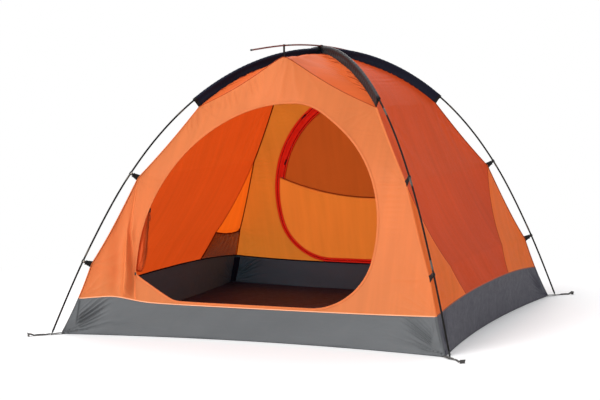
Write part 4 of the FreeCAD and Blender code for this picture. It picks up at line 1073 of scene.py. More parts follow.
def floor_edge_front(t):
    """The floor's front edge; t runs from -1 at the left to 1."""
    x, y, z = corner_xyz(FLOOR_CORNER)
    return columns(x * t, FLOOR_BOW_FRONT * (1 - t**2) - y, np.full_like(t, z))


def floor_edge_right(t):
    """The floor's right edge; t runs from -1 at the front to 1."""
    x, y, z = corner_xyz(FLOOR_CORNER)
    return columns(x - FLOOR_BOW_SIDE * (1 - t**2), y * t, np.full_like(t, z))


def groundsheet():
    """The floor, a little loose on the ground."""
    t = np.linspace(-1, 1, 141)
    front, right = floor_edge_front(t), floor_edge_right(t)
    points = coons(front, turn_half(front)[::-1], turn_half(right)[::-1], right)
    x, y = points[..., 0], points[..., 1]
    rise = 0.0022 * np.abs(cloth_noise(x, y, 0.26, 81))
    rise = rise + 0.0035 * np.clip(cloth_noise(x, y, 0.8, 82) - 0.4, 0, 1)
    points = points + (smooth(from_edges(points), 0, 0.10) * rise)[..., None] * UP
    cloth("groundsheet_cloth", points, FLOOR, "floor_fabric", ("groundsheet",))


def band_folds(points, seed, depth):
    """Tension folds of the band: fans at its corners and a soft wave between."""
    along, up = lengths(points, 1), lengths(points, 0)
    folds = 0.0012 * cloth_noise(along, up, 0.16, seed)
    for k, place in enumerate((along, along[:, -1:] - along)):
        past = place - (0.004 + 0.31 * (up[-1:] - up))  # past the corner's slanting crease
        pulled = smooth(past, 0.004, 0.020) * (1 - smooth(place, 0.11, 0.21))
        folds = folds + 0.0250 * pulled * fan(place, up, (-0.10, -0.05), 37, 12, 4.6, 0.40, seed + 1 + k)
        folds = folds + 0.0160 * fan(place, up, (-0.02, 0.004), 14, 9, 1.6, 0.20, seed + 4 + k)
        folds = folds + 0.0070 * (1 - smooth(past, 0.0, 0.007)) * smooth(up, 0.03, 0.08)
    wave = np.sin(along / 0.10 + 1.3 * uneven(along, 0.9, seed + 8) + 3 * up)
    return depth * (folds + 0.0014 * wave)


def band(places, bottom, top, left, right, seed, material, depth):
    """The floor's band along one edge of it, and on the other side the same turned by half."""
    points = coons(bottom, top, left, right)
    middle = points[len(points) // 2, points.shape[1] // 2]
    folds = band_folds(points, seed, depth) * smooth(from_edges(points), 0, 0.010)
    points = points + surface_normals(points, middle * (1, 1, 0)) * folds[..., None]
    points[..., 2] = np.maximum(points[..., 2], bottom[0, 2])
    for place, grid in zip(places, (points, turn_half(points))):
        cloth("band_" + place, grid, material, "tub_fabric", ("tub_wall_" + place,), thick=0.0009,
              lining=TUB_LINING)


def tub():
    """The four sides of the band, from the floor up to its piping."""
    rise = np.linspace(FLOOR_CORNER, TUB_CORNER, 40)
    t = np.sin(np.linspace(-1, 1, 321) * math.pi / 2)
    left, middle, right = (seam(arm, rise) for arm in ("front_left", "front_right", "rear_right"))
    side_top = side_point(TUB_CORNER, (t + 1) / 2)
    band(("front", "rear"), floor_edge_front(t), tub_top_front(t), left, middle, 91, TUB, 1.0)
    # the side bands take the darker copy of the tub fabric, painted shade
    band(("right", "left"), floor_edge_right(t), side_top, middle, right, 101, TUB_PAINTED_SHADE, 0.40)


# ---------------------------------------------------------------- seams and piping
def both_ends(path):
    """A line at the front or right, and the same at the rear or left."""
    return path, turn_half(path)


# Each kind of sewn cloth or thread: the piece it goes into, its finish and its slot.
SEWN = {"corner": ("corner_seams", SEAM, "wall_nylon"),
        "band": ("band_corner_seams", TUB, "tub_fabric"),
        "side": ("side_seams", SIDE_SEAM, "side_nylon"),
        "wall": ("wall_seams", SEAM, "wall_nylon"),
        "peak": ("peak_seams", PEAK_SEAM, "wall_nylon"),
        "binding": ("inner_bindings", DARK_SEAM, "wall_nylon"),
        "corner_thread": ("corner_stitches", THREAD, "wall_nylon"),
        "wall_thread": ("wall_stitches", THREAD, "wall_nylon"),
        "band_thread": ("band_stitches", DARK_THREAD, "tub_fabric"),
        "tape": ("tub_inner_tapes", SLEEVE, "tub_fabric"),
        "piping": ("band_piping", PIPING, "wall_nylon"),
        "side_piping": ("side_band_piping", PIPING_PAINTED_SHADE, "side_nylon")}


def seams():
    """The felled seams and their stitching; the seams at the corners carry the tent's weight."""
    sewn = {kind: Parts() for kind in SEWN}

    def strip(kind, thread, path, out, *measures):
        seam_strip(sewn[kind], sewn[thread], path, out, *measures)

    for arm in ARMS:
        for kind, first, last, count in (("corner", TUB_CORNER, SLEEVE_END, 260),
                                         ("band", FLOOR_CORNER, TUB_CORNER, 30)):
            s = np.linspace(first, last, count)
            strip(kind, kind + "_thread", seam(arm, s), outwards(arm, s), SEAM_W, (-0.28, 0.28))
    s = np.linspace(TUB_CORNER, CLIP_STATIONS[0], 120)
    for edge in (front_edge, rear_edge):
        for path, way in zip(both_ends(side_point(s, edge(s))), (1.0, -1.0)):
            strip("side", "wall_thread", path, unit((way, 0, 0.3)))
    lines = (gusset_seam(), WALL_OUT, peak_edge(np.linspace(-1, 1, 161)), unit(WALL_OUT + UP))
    for wall, wall_out, peak, peak_out in zip(*map(both_ends, lines)):
        strip("wall", "wall_thread", wall, wall_out, 0.008)
        strip("peak", "wall_thread", peak, peak_out, 0.0045, ())
    for arm in ARMS:
        for kind, first, last, count, inset, *measures in (
                ("binding", TUB_CORNER, CROWN_REACH + 0.01, 320, 0.0015, 0.007, (), 0.0018),
                ("tape", FLOOR_CORNER - 0.016, TUB_CORNER, 30, 0.022, 0.036, (), 0.0030)):
            s = np.linspace(first, last, count)
            out = outwards(arm, s)
            strip(kind, "wall_thread", seam(arm, s) - out * inset, -out, *measures)
    t = np.linspace(-1, 1, 241)
    for kind, path, out in (("piping", tub_top_front(t), np.array([0.0, -1.0, 0.0])),
                            ("side_piping", side_point(TUB_CORNER, (t + 1) / 2), RIGHT)):
        for edge, edge_out in zip(both_ends(path), both_ends(out)):
            sewn[kind].rings(sweep(edge, circle(PIPING_R, 8), edge_out))
            strip("tape", "wall_thread", edge - edge_out * 0.003, -edge_out, 0.007, (), 0.002)
    for kind, (name, material, slot) in SEWN.items():
        sewn[kind].make(name, material, slot=slot)


# ---------------------------------------------------------------- doors and zips
def ring_sheet(end, part, outer, inner, n, material, slot, body="root"):
    """A flat band of tape round a doorway between two loops; the rear ones stay clear of the hinge."""
    turns = np.linspace(-math.pi, math.pi, 900, endpoint=False)
    a, b = loop_by_turn(outer, turns), loop_by_turn(inner, turns)
    if body == "rear_door":
        a[:, 0] = np.maximum(a[:, 0], SEWN_U + HINGE_CLEAR + 0.0005)
    elif end == "rear":
        b[:, 0] = np.maximum(b[:, 0], SEWN_U + HINGE_CLEAR)
    points = wall_strip(a, b, 5, n)
    name, node = (end + "_" + part + kind for kind in ("_band", "_tape"))
    cloth(name, turn_half(points) if end == "rear" else points, material, slot, (node,), body, wrap=True,
          thick=TAPE_T)


def wall_strip(a, b, rows, n):
    """Rows of points on the front wall, from one line of (across, up) points to another."""
    share = np.linspace(0, 1, rows)[:, None, None]
    flat = a[None] * (1 - share) + b[None] * share
    return wall_point(flat[..., 0], flat[..., 1], n)


def chain(name, path, out, material, rows, **kind):
    """Zip teeth along a path; two rows of them mesh."""
    places, ahead, _ = spaced(path, TOOTH_PITCH)
    across = unit(np.cross(ahead, out))
    parts = Parts()
    for row in rows:
        centres = places + across * 0.0008 * row + ahead * TOOTH_PITCH / 4 * row
        parts.blocks(centres, ahead, across, out, (TOOTH_PITCH * 0.42, 0.0026, 0.0024))
    parts.make(name, material, **kind)


def wall_loop(loop):
    """A closed loop of (across, up) points, in the middle of the front wall's cloth."""
    path = wall_point(loop[:, 0], loop[:, 1], -SKIN_BACK)
    return np.concatenate([path, path[:1]])


def seam_height(u):
    """Height up the wall of the window's lower seam."""
    return WINDOW_SEAM_V + WINDOW_SEAM_R - np.sqrt(WINDOW_SEAM_R**2 - u**2)


def run_start(inside):
    """Where the run of true values in a closed loop starts."""
    return np.nonzero(inside & ~np.roll(inside, 1))[0][0]


def clipped_loop(grow, above):
    """The part of the outline above or below the window's seam, closed along that seam."""
    loop = outline(grow, 0.005)
    inside = (loop[:, 1] >= seam_height(loop[:, 0])) == above
    start = run_start(inside)
    kept = np.roll(loop, -start, axis=0)[np.roll(inside, -start)]
    u = np.linspace(kept[-1, 0], kept[0, 0], 150)[1:-1]
    return np.concatenate([kept, columns(u, seam_height(u))])


def door_folds(u, v, seed):
    """The closed door hangs a little slack: faint folds down from its seam and a soft belly."""
    folds = 0.0030 * cloth_noise(u, v, 0.35, seed)
    hanging = crest(u / 0.020 + 1.6 * uneven(u, 0.5, seed + 1) + 0.5 * v, 1.2) - 0.5
    return folds + 0.0030 * hanging * hump(v, 0.24, 0.15) - 0.004 * np.cos(u * 3)


def door_cloth(name, loop, middle, material, slot, node, seed):
    """Cloth of the rear door inside a loop, its rows run from a middle point out to the loop."""
    share = np.linspace(0, 1, 60)[:, None, None] ** 0.8
    flat = np.array(middle)[None, None] * (1 - share) + loop[None] * share
    u, v = flat[..., 0], flat[..., 1]
    from_rim = (1 - share[..., 0]) * 0.4
    n = -SKIN_BACK + door_folds(u, v, seed) * smooth(from_rim, 0, 0.05)
    points = turn_half(wall_point(u, v, n))
    cloth(name, points, material, slot, (node,), "rear_door", columns(u, v), wrap=True)


def doors():
    """The zips' tapes and teeth, and the closed rear door with its window."""
    gap, wide = TAPE_GAP, TAPE + 0.003
    ring_sheet("front", "zip", doorway(TAPE), doorway(gap), TAPE_OUT, WALL_TAPE, "wall_tape")
    ring_sheet("rear", "zip", outline(wide), outline(gap), TAPE_OUT + 0.0002, RED_TAPE, "zip_tape")
    ring_sheet("rear", "door", outline(-gap), outline(-wide), TAPE_OUT, RED_TAPE, "zip_tape", "rear_door")
    lower = clipped_loop(-TAPE, False)
    door_cloth("rear_door_cloth", lower, (0.0, 0.20), DOOR, "wall_nylon", "rear_door_panel", 111)
    window = clipped_loop(0.002 - (TAPE + WINDOW_BAND + CHAIN_GAP + WINDOW_TAPE), True)
    door_cloth("rear_door_window_cloth", window, (0.0, 0.72), WINDOW, "window_nylon", "rear_door_window", 121)
    window_band()
    loop = doorway(0.0007)
    sewn = (loop[:, 0] < SEWN_U + 0.05) & (loop[:, 1] > SILL_CORNER_V)
    start = run_start(~sewn)
    open_edge = np.roll(loop, -start, axis=0)[~np.roll(sewn, -start)]
    chain("front_zip_teeth", wall_loop(open_edge)[:-1], WALL_OUT, ORANGE_TEETH, (0,), slot="wall_tape")
    rear = (turn_half(WALL_OUT), RED_TEETH, (-1, 1))
    chain("rear_zip_teeth", turn_half(wall_loop(outline(0.0))), *rear, slot="zip_tape")
    loop = clipped_loop(-(TAPE + WINDOW_BAND + CHAIN_GAP / 2), True)
    upper = loop[loop[:, 1] >= seam_height(loop[:, 0]) + 1e-4]
    chain("window_zip_teeth", turn_half(wall_loop(upper)[:-1]), *rear, slot="zip_tape", body="rear_door")


def window_band():
    """The wide red band round the window, the window's own zip tape and the seam under it."""
    turns = np.linspace(-math.pi, math.pi, 900)
    gap = CHAIN_GAP / 2 - TAPE_GAP
    inner = TAPE + WINDOW_BAND + CHAIN_GAP - gap
    for name, outer, wide, node in (("window_band", TAPE, WINDOW_BAND + gap, ()),
                                    ("window_zip_band", inner, WINDOW_TAPE + 0.004, ("window_zip_tape",))):
        edges = [loop_by_turn(outline(grow), turns) for grow in (-outer, -outer - wide)]
        over = np.all([edge[:, 1] >= seam_height(edge[:, 0]) - 0.008 for edge in edges], axis=0)
        start = run_start(over)
        a, b = (np.roll(edge, -start, axis=0)[np.roll(over, -start)] for edge in edges)
        cloth(name, turn_half(wall_strip(a, b, 4, TAPE_OUT)), RED_TAPE, "zip_tape", node, "rear_door",
              thick=TAPE_T)
    u = np.linspace(-0.62, 0.70, 160)
    rim = outline(-TAPE)[:, 0]
    u = u[(u > rim.min() + 0.004) & (u < rim.max() - 0.004)]
    strip, thread = Parts(), Parts()
    seam_strip(strip, thread, turn_half(wall_point(u, seam_height(u))), turn_half(WALL_OUT))
    strip.make("window_seam", DARK_SEAM, slot="window_nylon", body="rear_door")
    thread.make("window_seam_stitches", DARK_THREAD, slot="window_nylon", body="rear_door")


# ---------------------------------------------------------------- poles, sleeves and clips
def dress(node, material, bevel=0.0):
    """A CAD node whose shape is right gets its finish."""
    made = frame["nodes"][node]
    for mat_slot in made.material_slots:
        mat_slot.material = material
    if not made.material_slots:
        made.data.materials.append(material)
    if bevel:
        soft = made.modifiers.new("soft edges", "BEVEL")
        soft.width = bevel
        soft.segments = 2
        soft.limit_method = "ANGLE"
        soft.angle_limit = math.radians(25)
        soft.harden_normals = True


def ferrule(rings, path, up, radius, thick):
    """A thin metal sleeve round a pole's tube, along six points."""
    radii = radius + thick * np.array([0, 1, 1, 1, 1, 0])
    rings.rings(sweep(path, circle(1.0, 24)[None] * radii[:, None, None], up))


def poles():
    """Each main pole as five tube sections to an arm, joined where a ferrule shows."""
    for node in ("main_pole_under", "main_pole_over"):
        tube, rings = Parts(), Parts()
        for arm in (arm for arm in ARMS if POLE_NODE[arm] == node):
            s = np.linspace(0, POLES[arm].length, 150)
            tube.rings(sweep(pole_at(arm, s), circle(POLE_R, 24), outwards(arm, s)))
            for i in range(1, 5):
                s = POLES[arm].length * i / 5 + np.linspace(-0.004, 0.046, 6)
                ferrule(rings, pole_at(arm, s), outwards(arm, s), POLE_R, 0.00035)
        tube.make(node + "_tube", POLE, slot="pole_tube", replaces=(node,))
        rings.make(node + "_ferrules", FERRULE, slot="pole_tube")


def ridge():
    """The ridge pole in four sections; gives its middle line."""
    line = Line(ring_centres("ridge_pole", np.array([0.0, 1.0, 0.0])))
    radius = node_points("ridge_pole")[:, 0].max()
    tube, rings = Parts(), Parts()
    tube.rings(sweep(line.at(np.linspace(0, line.length, 160)), circle(radius, 24), UP))
    for i in range(1, 4):
        s = line.length * i / 4 + np.linspace(-0.003, 0.030, 6)
        ferrule(rings, line.at(s), UP, radius, 0.0003)
    tube.make("ridge_pole_tube", RIDGE, slot="ridge_tube", replaces=("ridge_pole",))
    rings.make("ridge_pole_ferrules", FERRULE, slot="ridge_tube")
    return line


def sleeve_rings(arm, s, swell=0.0):
    """The sleeve's section at each s: round the pole, then two layers down to the corner seam."""
    centres = pole_at(arm, s)
    up = centres - seam(arm, s)
    reach = np.linalg.norm(up, axis=1) + 0.001
    angles = np.radians(np.linspace(-28, 208, 17))
    shape = []
    for place, depth in zip(s, reach):
        gathers = 0.0007 * math.sin(place / 0.0040 + 2 * math.sin(place / 0.05))
        round_r = TUNNEL_R + swell + 0.5 * gathers
        top = [(round_r * math.cos(a), round_r * math.sin(a)) for a in angles]
        left, right = [], []
        for d in np.linspace(TUNNEL_NECK, depth, 8):
            hang = math.sin(math.pi * (d - TUNNEL_NECK) / (depth - TUNNEL_NECK))
            sway = 0.0022 * math.sin(place / 0.045 + 40 * d) * hang
            wide = FIN_HALF + swell + gathers * 0.9 * (1 - (d - TUNNEL_NECK) / depth)
            left.append((sway - wide, -d))
            right.append((sway + wide, -d))
        shape.append(top + left + right[::-1])
    return sweep(centres, shape, unit(up))


def sleeves():
    """The sleeves round the main poles, their fins at the crossing and the webbing round their ends."""
    for arm in ARMS:
        rings = sleeve_rings(arm, np.linspace(SLEEVE_START, SLEEVE_END, 320))
        # the over pole's sleeves take the greyer copy, painted light
        fabric = SLEEVE_PAINTED_LIGHT if POLE_NODE[arm] == "main_pole_over" else SLEEVE
        cloth("sleeve_cloth_" + arm, rings, fabric, "sleeve_fabric", ("pole_sleeve_" + arm,), wrap=True,
              thick=0.0004)
    fins, cuffs = Parts(), Parts()
    drop = np.linspace(0.004, SEAM_OFFSET - SEAM_RISE + 0.001, 5)
    section = [(-FIN_HALF, -d) for d in drop] + [(FIN_HALF, -d) for d in drop[::-1]]
    for arm in ARMS:
        s = np.linspace(0.0005, SLEEVE_START + 0.002, 5)
        fins.rings(sweep(pole_at(arm, s), section, outwards(arm, s)))
        for place, width in ((SLEEVE_END, 0.015), (SLEEVE_START + 0.010, 0.010)):
            s = np.linspace(place - width, place + 0.001, 6)
            outer, inner = sleeve_rings(arm, s, 0.0007), sleeve_rings(arm, s[::-1], 0.0001)
            cuffs.rings(np.concatenate([outer, inner, outer[:1]]), caps=False)
    fins.make("crossing_fins", SLEEVE, slot="sleeve_fabric")
    cuffs.make("sleeve_cuffs", BLACK_WEBBING, slot="webbing")


def oblong(a, b):
    """Corners of a section, from its half width and half height."""
    return [(a, b), (-a, b), (-a, -b), (a, -b)]


def clips():
    """The plastic hooks round the poles, and the webbing tabs that hold the corner seams to them."""
    hooks, pads, tabs, threads = Parts(), Parts(), Parts(), Parts()
    outer, half = CLIP_IN + CLIP_WALL, CLIP_W / 2
    soft, edge = 0.0006, 0.0008
    angles = np.radians(np.linspace(40, 320, 25))
    stem_section = [oblong(0.0068, b) for b in (0.0015, 0.0015, 0.0017, 0.0022, 0.0030)]
    for arm in ARMS:
        for place in CLIP_STATIONS:
            centre, foot = pole_at(arm, place), seam(arm, place)
            ahead = unit(pole_at(arm, place - 0.002) - pole_at(arm, place + 0.002))
            out = unit(centre - foot)
            out = unit(out - ahead * (out @ ahead))
            side = np.cross(ahead, out)
            around = columns(np.cos(angles), np.sin(angles)) @ np.stack([out, side])
            rows = []
            for w, shrink in ((-half, soft), (edge - half, 0.0), (half - edge, 0.0), (half, soft)):
                ring = np.concatenate([(outer - shrink) * around, (CLIP_IN + shrink * 0.5) * around[::-1]])
                rows.append(centre + ring + ahead * w)
            hooks.rings(np.array(rows))
            stem_top = centre - out * (CLIP_IN + CLIP_WALL * 0.5)
            stem_low = centre - out * (outer + CLIP_STEM)
            hooks.rings(sweep(np.linspace(stem_low, stem_top, 5), stem_section, side))
            bar = np.linspace(stem_low - ahead * 0.0125, stem_low + ahead * 0.0125, 4)
            hooks.rings(sweep(bar, circle(0.0021, 12), out))
            pad = centre - out * 0.0015 + np.outer((0.0071, 0.0078), side)
            pads.rings(sweep(pad, oblong(0.0052, 0.0036), out))
            webbing_tab(tabs, threads, stem_low + out * 0.001, foot - out * 0.003, ahead, side)
    hooks.make("pole_clip_hooks", CLIP, slot="black_plastic", replaces=("pole_clips",))
    pads.make("pole_clip_marks", PALE_CLIP, slot="black_plastic")
    tabs.make("clip_webbing_tabs", BLACK_WEBBING, slot="webbing", replaces=("clip_tabs",))
    threads.make("clip_tab_stitches", DARK_THREAD, slot="webbing")


def webbing_tab(tabs, threads, top, foot, ahead, side):
    """Doubled webbing, folded round the clip's bar and wider where it is sewn to the seam."""
    share = np.linspace(0, 1, 9)
    path = top[None] * (1 - share[:, None]) + foot[None] * share[:, None]
    bow = 0.0008 * np.sin(math.pi * share)
    half = TAB_HALF_CLIP + (TAB_HALF_SEAM - TAB_HALF_CLIP) * share
    thick = 0.0014 + 0.0010 * (1 - share) ** 2
    section = [bar_section(2 * a, 2 * t, b - t) for a, t, b in zip(half, thick, bow)]
    tabs.rings(sweep(path, section, side))
    for at in (0.82, 0.93):
        centre = top * (1 - at) + foot * at
        reach = ahead * (TAB_HALF_CLIP + (TAB_HALF_SEAM - TAB_HALF_CLIP) * at) * 0.85
        for face in (side, -side):
            line = np.linspace(centre - reach, centre + reach, 12) + face * 0.0016
            stitch_line(threads, line, unit(foot - top), face)


# ---------------------------------------------------------------- ties at the ridge and crossing
def loop_band(points, width, thickness, axis):
    """A flat band of webbing round a closed loop of points, its width along axis."""
    out = unit(np.cross(unit(np.roll(points, -1, axis=0) - np.roll(points, 1, axis=0)), axis))
    if (out * (points - points.mean(axis=0))).sum() < 0:
        out = -out
    a, t = width / 2, thickness
    section = [(-a, 0), (-a, t), (-0.8 * a, t * 1.08), (0.8 * a, t * 1.08), (a, t), (a, 0)]
    rings = np.stack([points + axis * x + out * y for x, y in section], axis=1)
    return np.concatenate([rings, rings[:1]])


def rounded(points, radius):
    """A closed loop with its corners rounded."""
    points = [np.asarray(p, float) for p in points]
    loop = []
    for before, here, after in zip(points[-1:] + points[:-1], points, points[1:] + points[:1]):
        a = here + unit(before - here) * radius
        b = here + unit(after - here) * radius
        for t in np.linspace(0, 1, 5):
            loop.append((1 - t) ** 2 * a + 2 * t * (1 - t) * here + t * t * b)
    return np.array(loop)


def ridge_ties(line):
    """The band from each peak up round the ridge pole, and the band round the crossing."""
    strap_w, loop_r, half_gap, neck = 0.012, 0.0046, 0.0016, 0.012
    straps, tie = Parts(), Parts()
    for end in (-1, 1):
        y = end * abs(PEAK[1])
        s = float(np.interp(y, line.points[:, 1], line.along))
        ahead = line.heading(s)
        up = np.cross(RIGHT, ahead)
        up = up * np.sign(up[2])
        top = [line.at(s) + loop_r * (math.cos(a) * RIGHT + math.sin(a) * up)
               for a in np.radians(np.linspace(-70, 250, 28))]
        low = np.array([0.0, y, PEAK[2] + 0.001])
        left, right = low - half_gap * RIGHT, low + half_gap * RIGHT
        loop = np.array(top + [left + neck * UP, left, right, right + neck * UP])
        straps.rings(loop_band(loop, strap_w, WEBBING_T * 0.8, ahead), caps=False)
    straps.make("ridge_webbing", BLACK_WEBBING, slot="webbing", replaces=("ridge_straps",))
    box_low, box_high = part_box("crossing_tie")
    half = float(box_high[0]) - WEBBING_T
    low, high = float(box_low[2]) + 0.0008, float(box_high[2]) - WEBBING_T
    shoulder, crown_half = high - 0.011, 0.0055
    corners = [(-half, 0, low), (half, 0, low), (half, 0, shoulder), (crown_half, 0, high),
               (-crown_half, 0, high), (-half, 0, shoulder)]
    loop = rounded(corners, 0.0035)
    tie.rings(loop_band(loop, strap_w, WEBBING_T * 0.9, np.array([0.0, 1.0, 0.0])), caps=False)
    tie.make("crossing_webbing", BLACK_WEBBING, slot="webbing", replaces=("crossing_tie",))


# ---------------------------------------------------------------- feet
def peg_loops():
    """Twisted webbing from each corner out to a folded loop for the peg."""
    clear = 0.0006  # of the ground
    for arm in ARMS:
        node = "peg_loop_" + arm
        direction = arm_direction(arm)
        side = np.cross(UP, direction)
        out = node_points(node) @ direction
        start, end = out.min() - 0.022, out.max()
        top = float(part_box(node)[1][2])
        share = np.linspace(0, 1, 46)
        bundled = smooth(share, 0.1, 0.4)
        reach = start + (end - 0.004 - start) * share
        height = 0.0062 - 0.0030 * bundled + 0.0085 * smooth(share, 0.72, 0.95)
        drift = 0.004 * np.sin(share * 5.0) * bundled
        path = direction * reach[:, None] + UP * height[:, None] + side * drift[:, None]
        half = 0.0110 - 0.0065 * smooth(share, 0.05, 0.35) + 0.0035 * smooth(share, 0.75, 1.0)
        thick = 0.0013 + 0.0010 * bundled
        twist = math.radians(150) * smooth(share, 0.12, 0.85)
        section = []
        for a, t, turn in zip(half, thick, twist):
            c, s = math.cos(turn), math.sin(turn)
            if abs(s) > 0.2 and a > 0.006:
                a = min(a, 0.0030 / abs(s))  # webbing that stands on edge is folded narrower
            section.append(bar_section(2 * a, 2 * t, -t) @ np.array([[c, s], [-s, c]]))
        rings = sweep(path, section, UP)
        rings[..., 2] += np.maximum(clear - rings[..., 2].min(axis=1), 0)[:, None]
        strap = Parts()
        strap.rings(rings)
        tab_at = direction * (end - 0.0035)
        heights = np.linspace(0.0008, top - 0.0005, 9)
        tab = np.stack([tab_at + UP * z - direction * 0.001 * math.sin(z * 260) for z in heights])
        widths = 0.0125 + 0.0022 * np.linspace(0, 1, 9)
        strap.rings(sweep(tab, [bar_section(2 * w, 0.0030, -0.0015) for w in widths], direction))
        strap.make("peg_webbing_" + arm, GREY_WEBBING, slot="webbing", body=node, replaces=(node,))


def corner_webbing():
    """The strap at each corner that carries the eyelet for the pole's tip."""
    straps, threads = Parts(), Parts()
    points = node_points("corner_straps")
    for arm in ARMS:
        direction = arm_direction(arm)
        side = np.cross(UP, direction)
        mine = points[(points @ direction) > 1.0]
        start, end = (mine @ direction).min(), (mine @ direction).max()
        z = mine[:, 2].mean()
        s = np.linspace(start, end, 26)
        path = direction * s[:, None] + UP * (z + 0.0006 * np.sin((s - start) * 90))[:, None]
        straps.rings(sweep(path, bar_section(0.0244, WEBBING_T, -WEBBING_T / 2), UP))
        along = np.outer(np.linspace(start, start + 0.03, 8), direction)
        for offset in (-0.008, 0.008):
            stitch_line(threads, along + side * offset + UP * (z + 0.0011), side, UP)
    straps.make("corner_webbing_straps", GREY_WEBBING, slot="webbing", replaces=("corner_straps",))
    threads.make("corner_strap_stitches", DARK_THREAD, slot="webbing")


# ---------------------------------------------------------------- rolled door and pocket
def middle_of(values):
    """Half way between the least and the greatest."""
    return float((values.min() + values.max()) / 2)


def rolled_door():
    """The front door's cloth, rolled up to its sewn side and tied: a spiral with pinched folds."""
    u, v, n = wall_place(node_points("front_door_roll"))
    low, high = v.min(), v.max()
    centre_u, centre_n = middle_of(u), middle_of(n)
    tied = (wall_place(node_points("front_door_tie"))[1].mean() - low) / (high - low)
    share = np.linspace(0, 1, 110)[:, None]
    turn = np.linspace(0, 2 * math.pi, 72, endpoint=False)[None]
    swell = np.interp(share, (0, 0.08, 0.30, 0.55, 1.0), (0.80, 1.10, 1.16, 1.02, 0.60))
    pinch = 1 - 0.52 * hump(share, tied, 0.045)
    fold = 0.16 * (crest(turn * 5 + 2.6 * share + 0.9 * uneven(share, 0.5, 131), 1.4) - 0.45)
    crease = 0.07 * cloth_noise(share * 2.2, turn / 6, 0.30, 132)
    radius = (u.max() - u.min()) / 2 * swell * pinch * (0.93 + fold * (0.5 + 0.5 * pinch) + crease)
    lean = 0.004 * np.sin(share * 7)
    roll = Parts()
    roll.rings(wall_point(centre_u + radius * np.cos(turn) + lean, low + (high - low) * share,
                          centre_n + radius * np.sin(turn)))
    # the roll's darker nylon is painted shade
    made = roll.make("front_door_roll_cloth", ROLL_PAINTED_SHADE, slot="roll_nylon", body="front_roll",
                     replaces=("front_door_roll",))
    lip = Parts()
    edge_v = np.linspace(low + 0.02, high - 0.02, 90)
    edge_r = np.interp((edge_v - low) / (high - low), share[:, 0], radius.max(axis=1)) * 0.93
    for lean in (0.05, 0.45):
        path = wall_point(centre_u + edge_r * math.cos(lean), edge_v, centre_n + edge_r * math.sin(lean))
        lip.rings(sweep(path, bar_section(0.006, 0.0022), WALL_OUT))
    lip.make("front_door_hem", PEAK_SEAM, slot="wall_tape", body="front_roll")


def tie():
    """The elastic loop round the roll, and its two tails."""
    u, v, n = wall_place(node_points("front_door_tie"))
    mid_u, mid_v, mid_n = middle_of(u), float(v.mean()), middle_of(n)
    radius = float(u.max() - u.min()) / 2 - 0.0013
    turn = np.linspace(0, 2 * math.pi, 40)
    path = wall_point(mid_u + radius * np.cos(turn), mid_v + 0.0015 * np.sin(2 * turn),
                      mid_n + radius * np.sin(turn))
    cord = Parts()
    cord.rings(sweep(path, circle(0.0013, 10), WALL_UP), caps=False)
    share = np.linspace(0, 1, 40)
    for sway in (-0.008, 0.008):
        path = wall_point(mid_u + radius + 0.002 + sway * np.sin(math.pi * share),
                          mid_v - 0.004 - 0.050 * np.sin(math.pi * share / 2), mid_n - 0.002 - 0.004 * share)
        cord.rings(sweep(path, circle(0.0011, 8), WALL_OUT))
    cord.make("front_door_tie_cord", CORD, slot="webbing", body="front_roll", replaces=("front_door_tie",))


def pocket():
    """The mesh pocket inside the left wall's rear gusset, with a bound, sagging top edge."""
    first = 0.012
    rows = np.linspace(TUB_CORNER, CLIP_STATIONS[0], 200)
    top = float(np.interp(node_points("mesh_pocket")[:, 2].max() + 0.020, corner_xyz(rows)[:, 2], rows))
    v = np.linspace(0, 1, 40)[:, None]
    u = np.linspace(0, 1, 90)[None]
    s = TUB_CORNER - (TUB_CORNER - top) * v * (1 - 0.10 * (4 * u * (1 - u)) ** 0.8)
    t = first + (front_edge(s) - first) * u
    loose = 1 - (2 * u - 1) ** 6
    x_in = 0.003 + (0.024 * v**0.8 + 0.0030 * cloth_noise(u / 2, v / 7, 0.07, 141) * v) * loose
    grid = turn_half(side_point(s, t) - x_in[..., None] * RIGHT)
    cloth("mesh_pocket_net", grid, MESH, "mesh", ("mesh_pocket",))
    hem = Parts()
    for edge in (grid[-1], grid[:, 0], grid[:, -1]):
        hem.rings(sweep(edge, bar_section(0.008, 0.0016, -0.0008), RIGHT))
    hem.make("mesh_pocket_binding", DARK_SEAM, slot="mesh")


# ---------------------------------------------------------------- floor, light and camera
AMBIENT = 0.62
LAMPS = (("key", 2.5, 34.0, (-0.60, -0.72, 0.72)), ("front", 0.55, 40.0, (0.30, -0.95, 0.26)),
         ("back", 1.3, 40.0, (-0.2, 0.8, 0.7)))

CAMERA_AT = (3.00237, -8.13834, 1.30455)
AZIMUTH, ELEVATION, CAMERA_ROLL = 21.007, 4.619, -0.233
LENS = 99.33


def link(name, data):
    """A new object in the scene."""
    made = bpy.data.objects.new(name, data)
    bpy.context.scene.collection.objects.link(made)
    return made


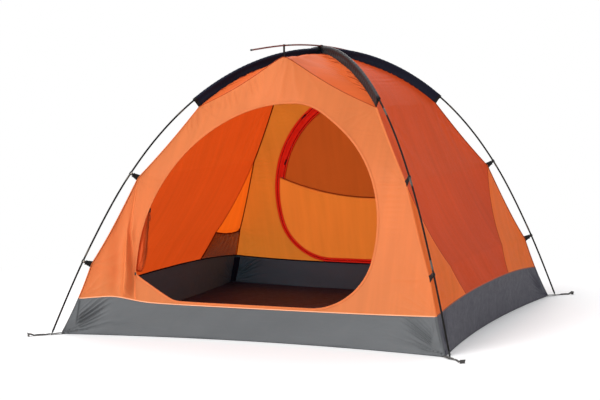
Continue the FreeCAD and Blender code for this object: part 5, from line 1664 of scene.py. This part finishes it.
def studio():
    """A plain pale floor and soft light from the front left; the background is plain white."""
    size = 12.0
    s = Shader(bpy.data.materials.new("studio_floor"))
    far = s.add("VectorMath", {0: s.add("TexCoord", {}, "Object")}, "Value", operation="LENGTH")
    fade = s.ramp(far, 1.35, 2.8, 0.0, 1.0)
    seen = s.in_sight()
    white = s.add("Emission", {"Color": (1, 1, 1, 1), "Strength": 1.0})
    paper = s.add("BsdfDiffuse", {"Color": (0.90, 0.90, 0.90, 1)})
    s.end(s.blend(s.maths("MULTIPLY", fade, seen), paper, white))
    mesh = bpy.data.meshes.new("studio_floor")
    corners = [(x * size, y * size, 0) for x, y in ((-1, -1), (1, -1), (1, 1), (-1, 1))]
    mesh.from_pydata(corners, [], [(0, 1, 2, 3)])
    mesh.materials.append(s.owner)
    link("studio_floor", mesh)
    bpy.context.scene.world = bpy.data.worlds.new("studio")
    w = Shader(bpy.context.scene.world)
    seen = w.in_sight()
    lit = w.add("Background", {"Color": (0.97, 0.98, 1.0, 1), "Strength": AMBIENT})
    plain = w.add("Background", {"Color": (1, 1, 1, 1), "Strength": 1.0})
    w.end(w.blend(seen, lit, plain), "World")
    for name, strength, angle, towards in LAMPS:
        lamp = bpy.data.lights.new(name, "SUN")
        lamp.energy = strength
        lamp.angle = math.radians(angle)
        link(name, lamp).rotation_euler = Vector(towards).to_track_quat("Z", "Y").to_euler()


def camera():
    """The camera where the photograph was taken from."""
    az, el, roll = (math.radians(a) for a in (AZIMUTH, ELEVATION, CAMERA_ROLL))
    ahead = Vector((-math.sin(az) * math.cos(el), math.cos(az) * math.cos(el), -math.sin(el)))
    right = ahead.cross(Vector((0, 0, 1))).normalized()
    up = right.cross(ahead)
    c, s = math.cos(roll), math.sin(roll)
    right, up = c * right + s * up, c * up - s * right
    lens = bpy.data.cameras.new("camera")
    lens.lens = LENS
    lens.sensor_width = 36.0
    made = link("camera", lens)
    made.matrix_world = Matrix.Translation(CAMERA_AT) @ Matrix((right, up, -ahead)).transposed().to_4x4()
    bpy.context.scene.camera = made


bpy.context.scene.view_settings.view_transform = "Standard"
camera()
studio()
both_sides()
end_walls()
roof_panels()
crown()
groundsheet()
tub()
seams()
doors()
poles()
ridge_ties(ridge())
sleeves()
clips()
peg_loops()
corner_webbing()
rolled_door()
tie()
pocket()
dress("ridge_pole_caps", BLACK)
dress("pole_tips", BLACK)
dress("corner_eyelets", BRIGHT, 0.0003)
dress("front_door_toggle", BLACK, 0.0005)
for zip_part in ("rear_door_slider", "rear_door_pull", "window_slider", "window_pull", "front_door_slider",
                 "front_door_pull"):
    dress(zip_part, ZIP_METAL, 0.0003)
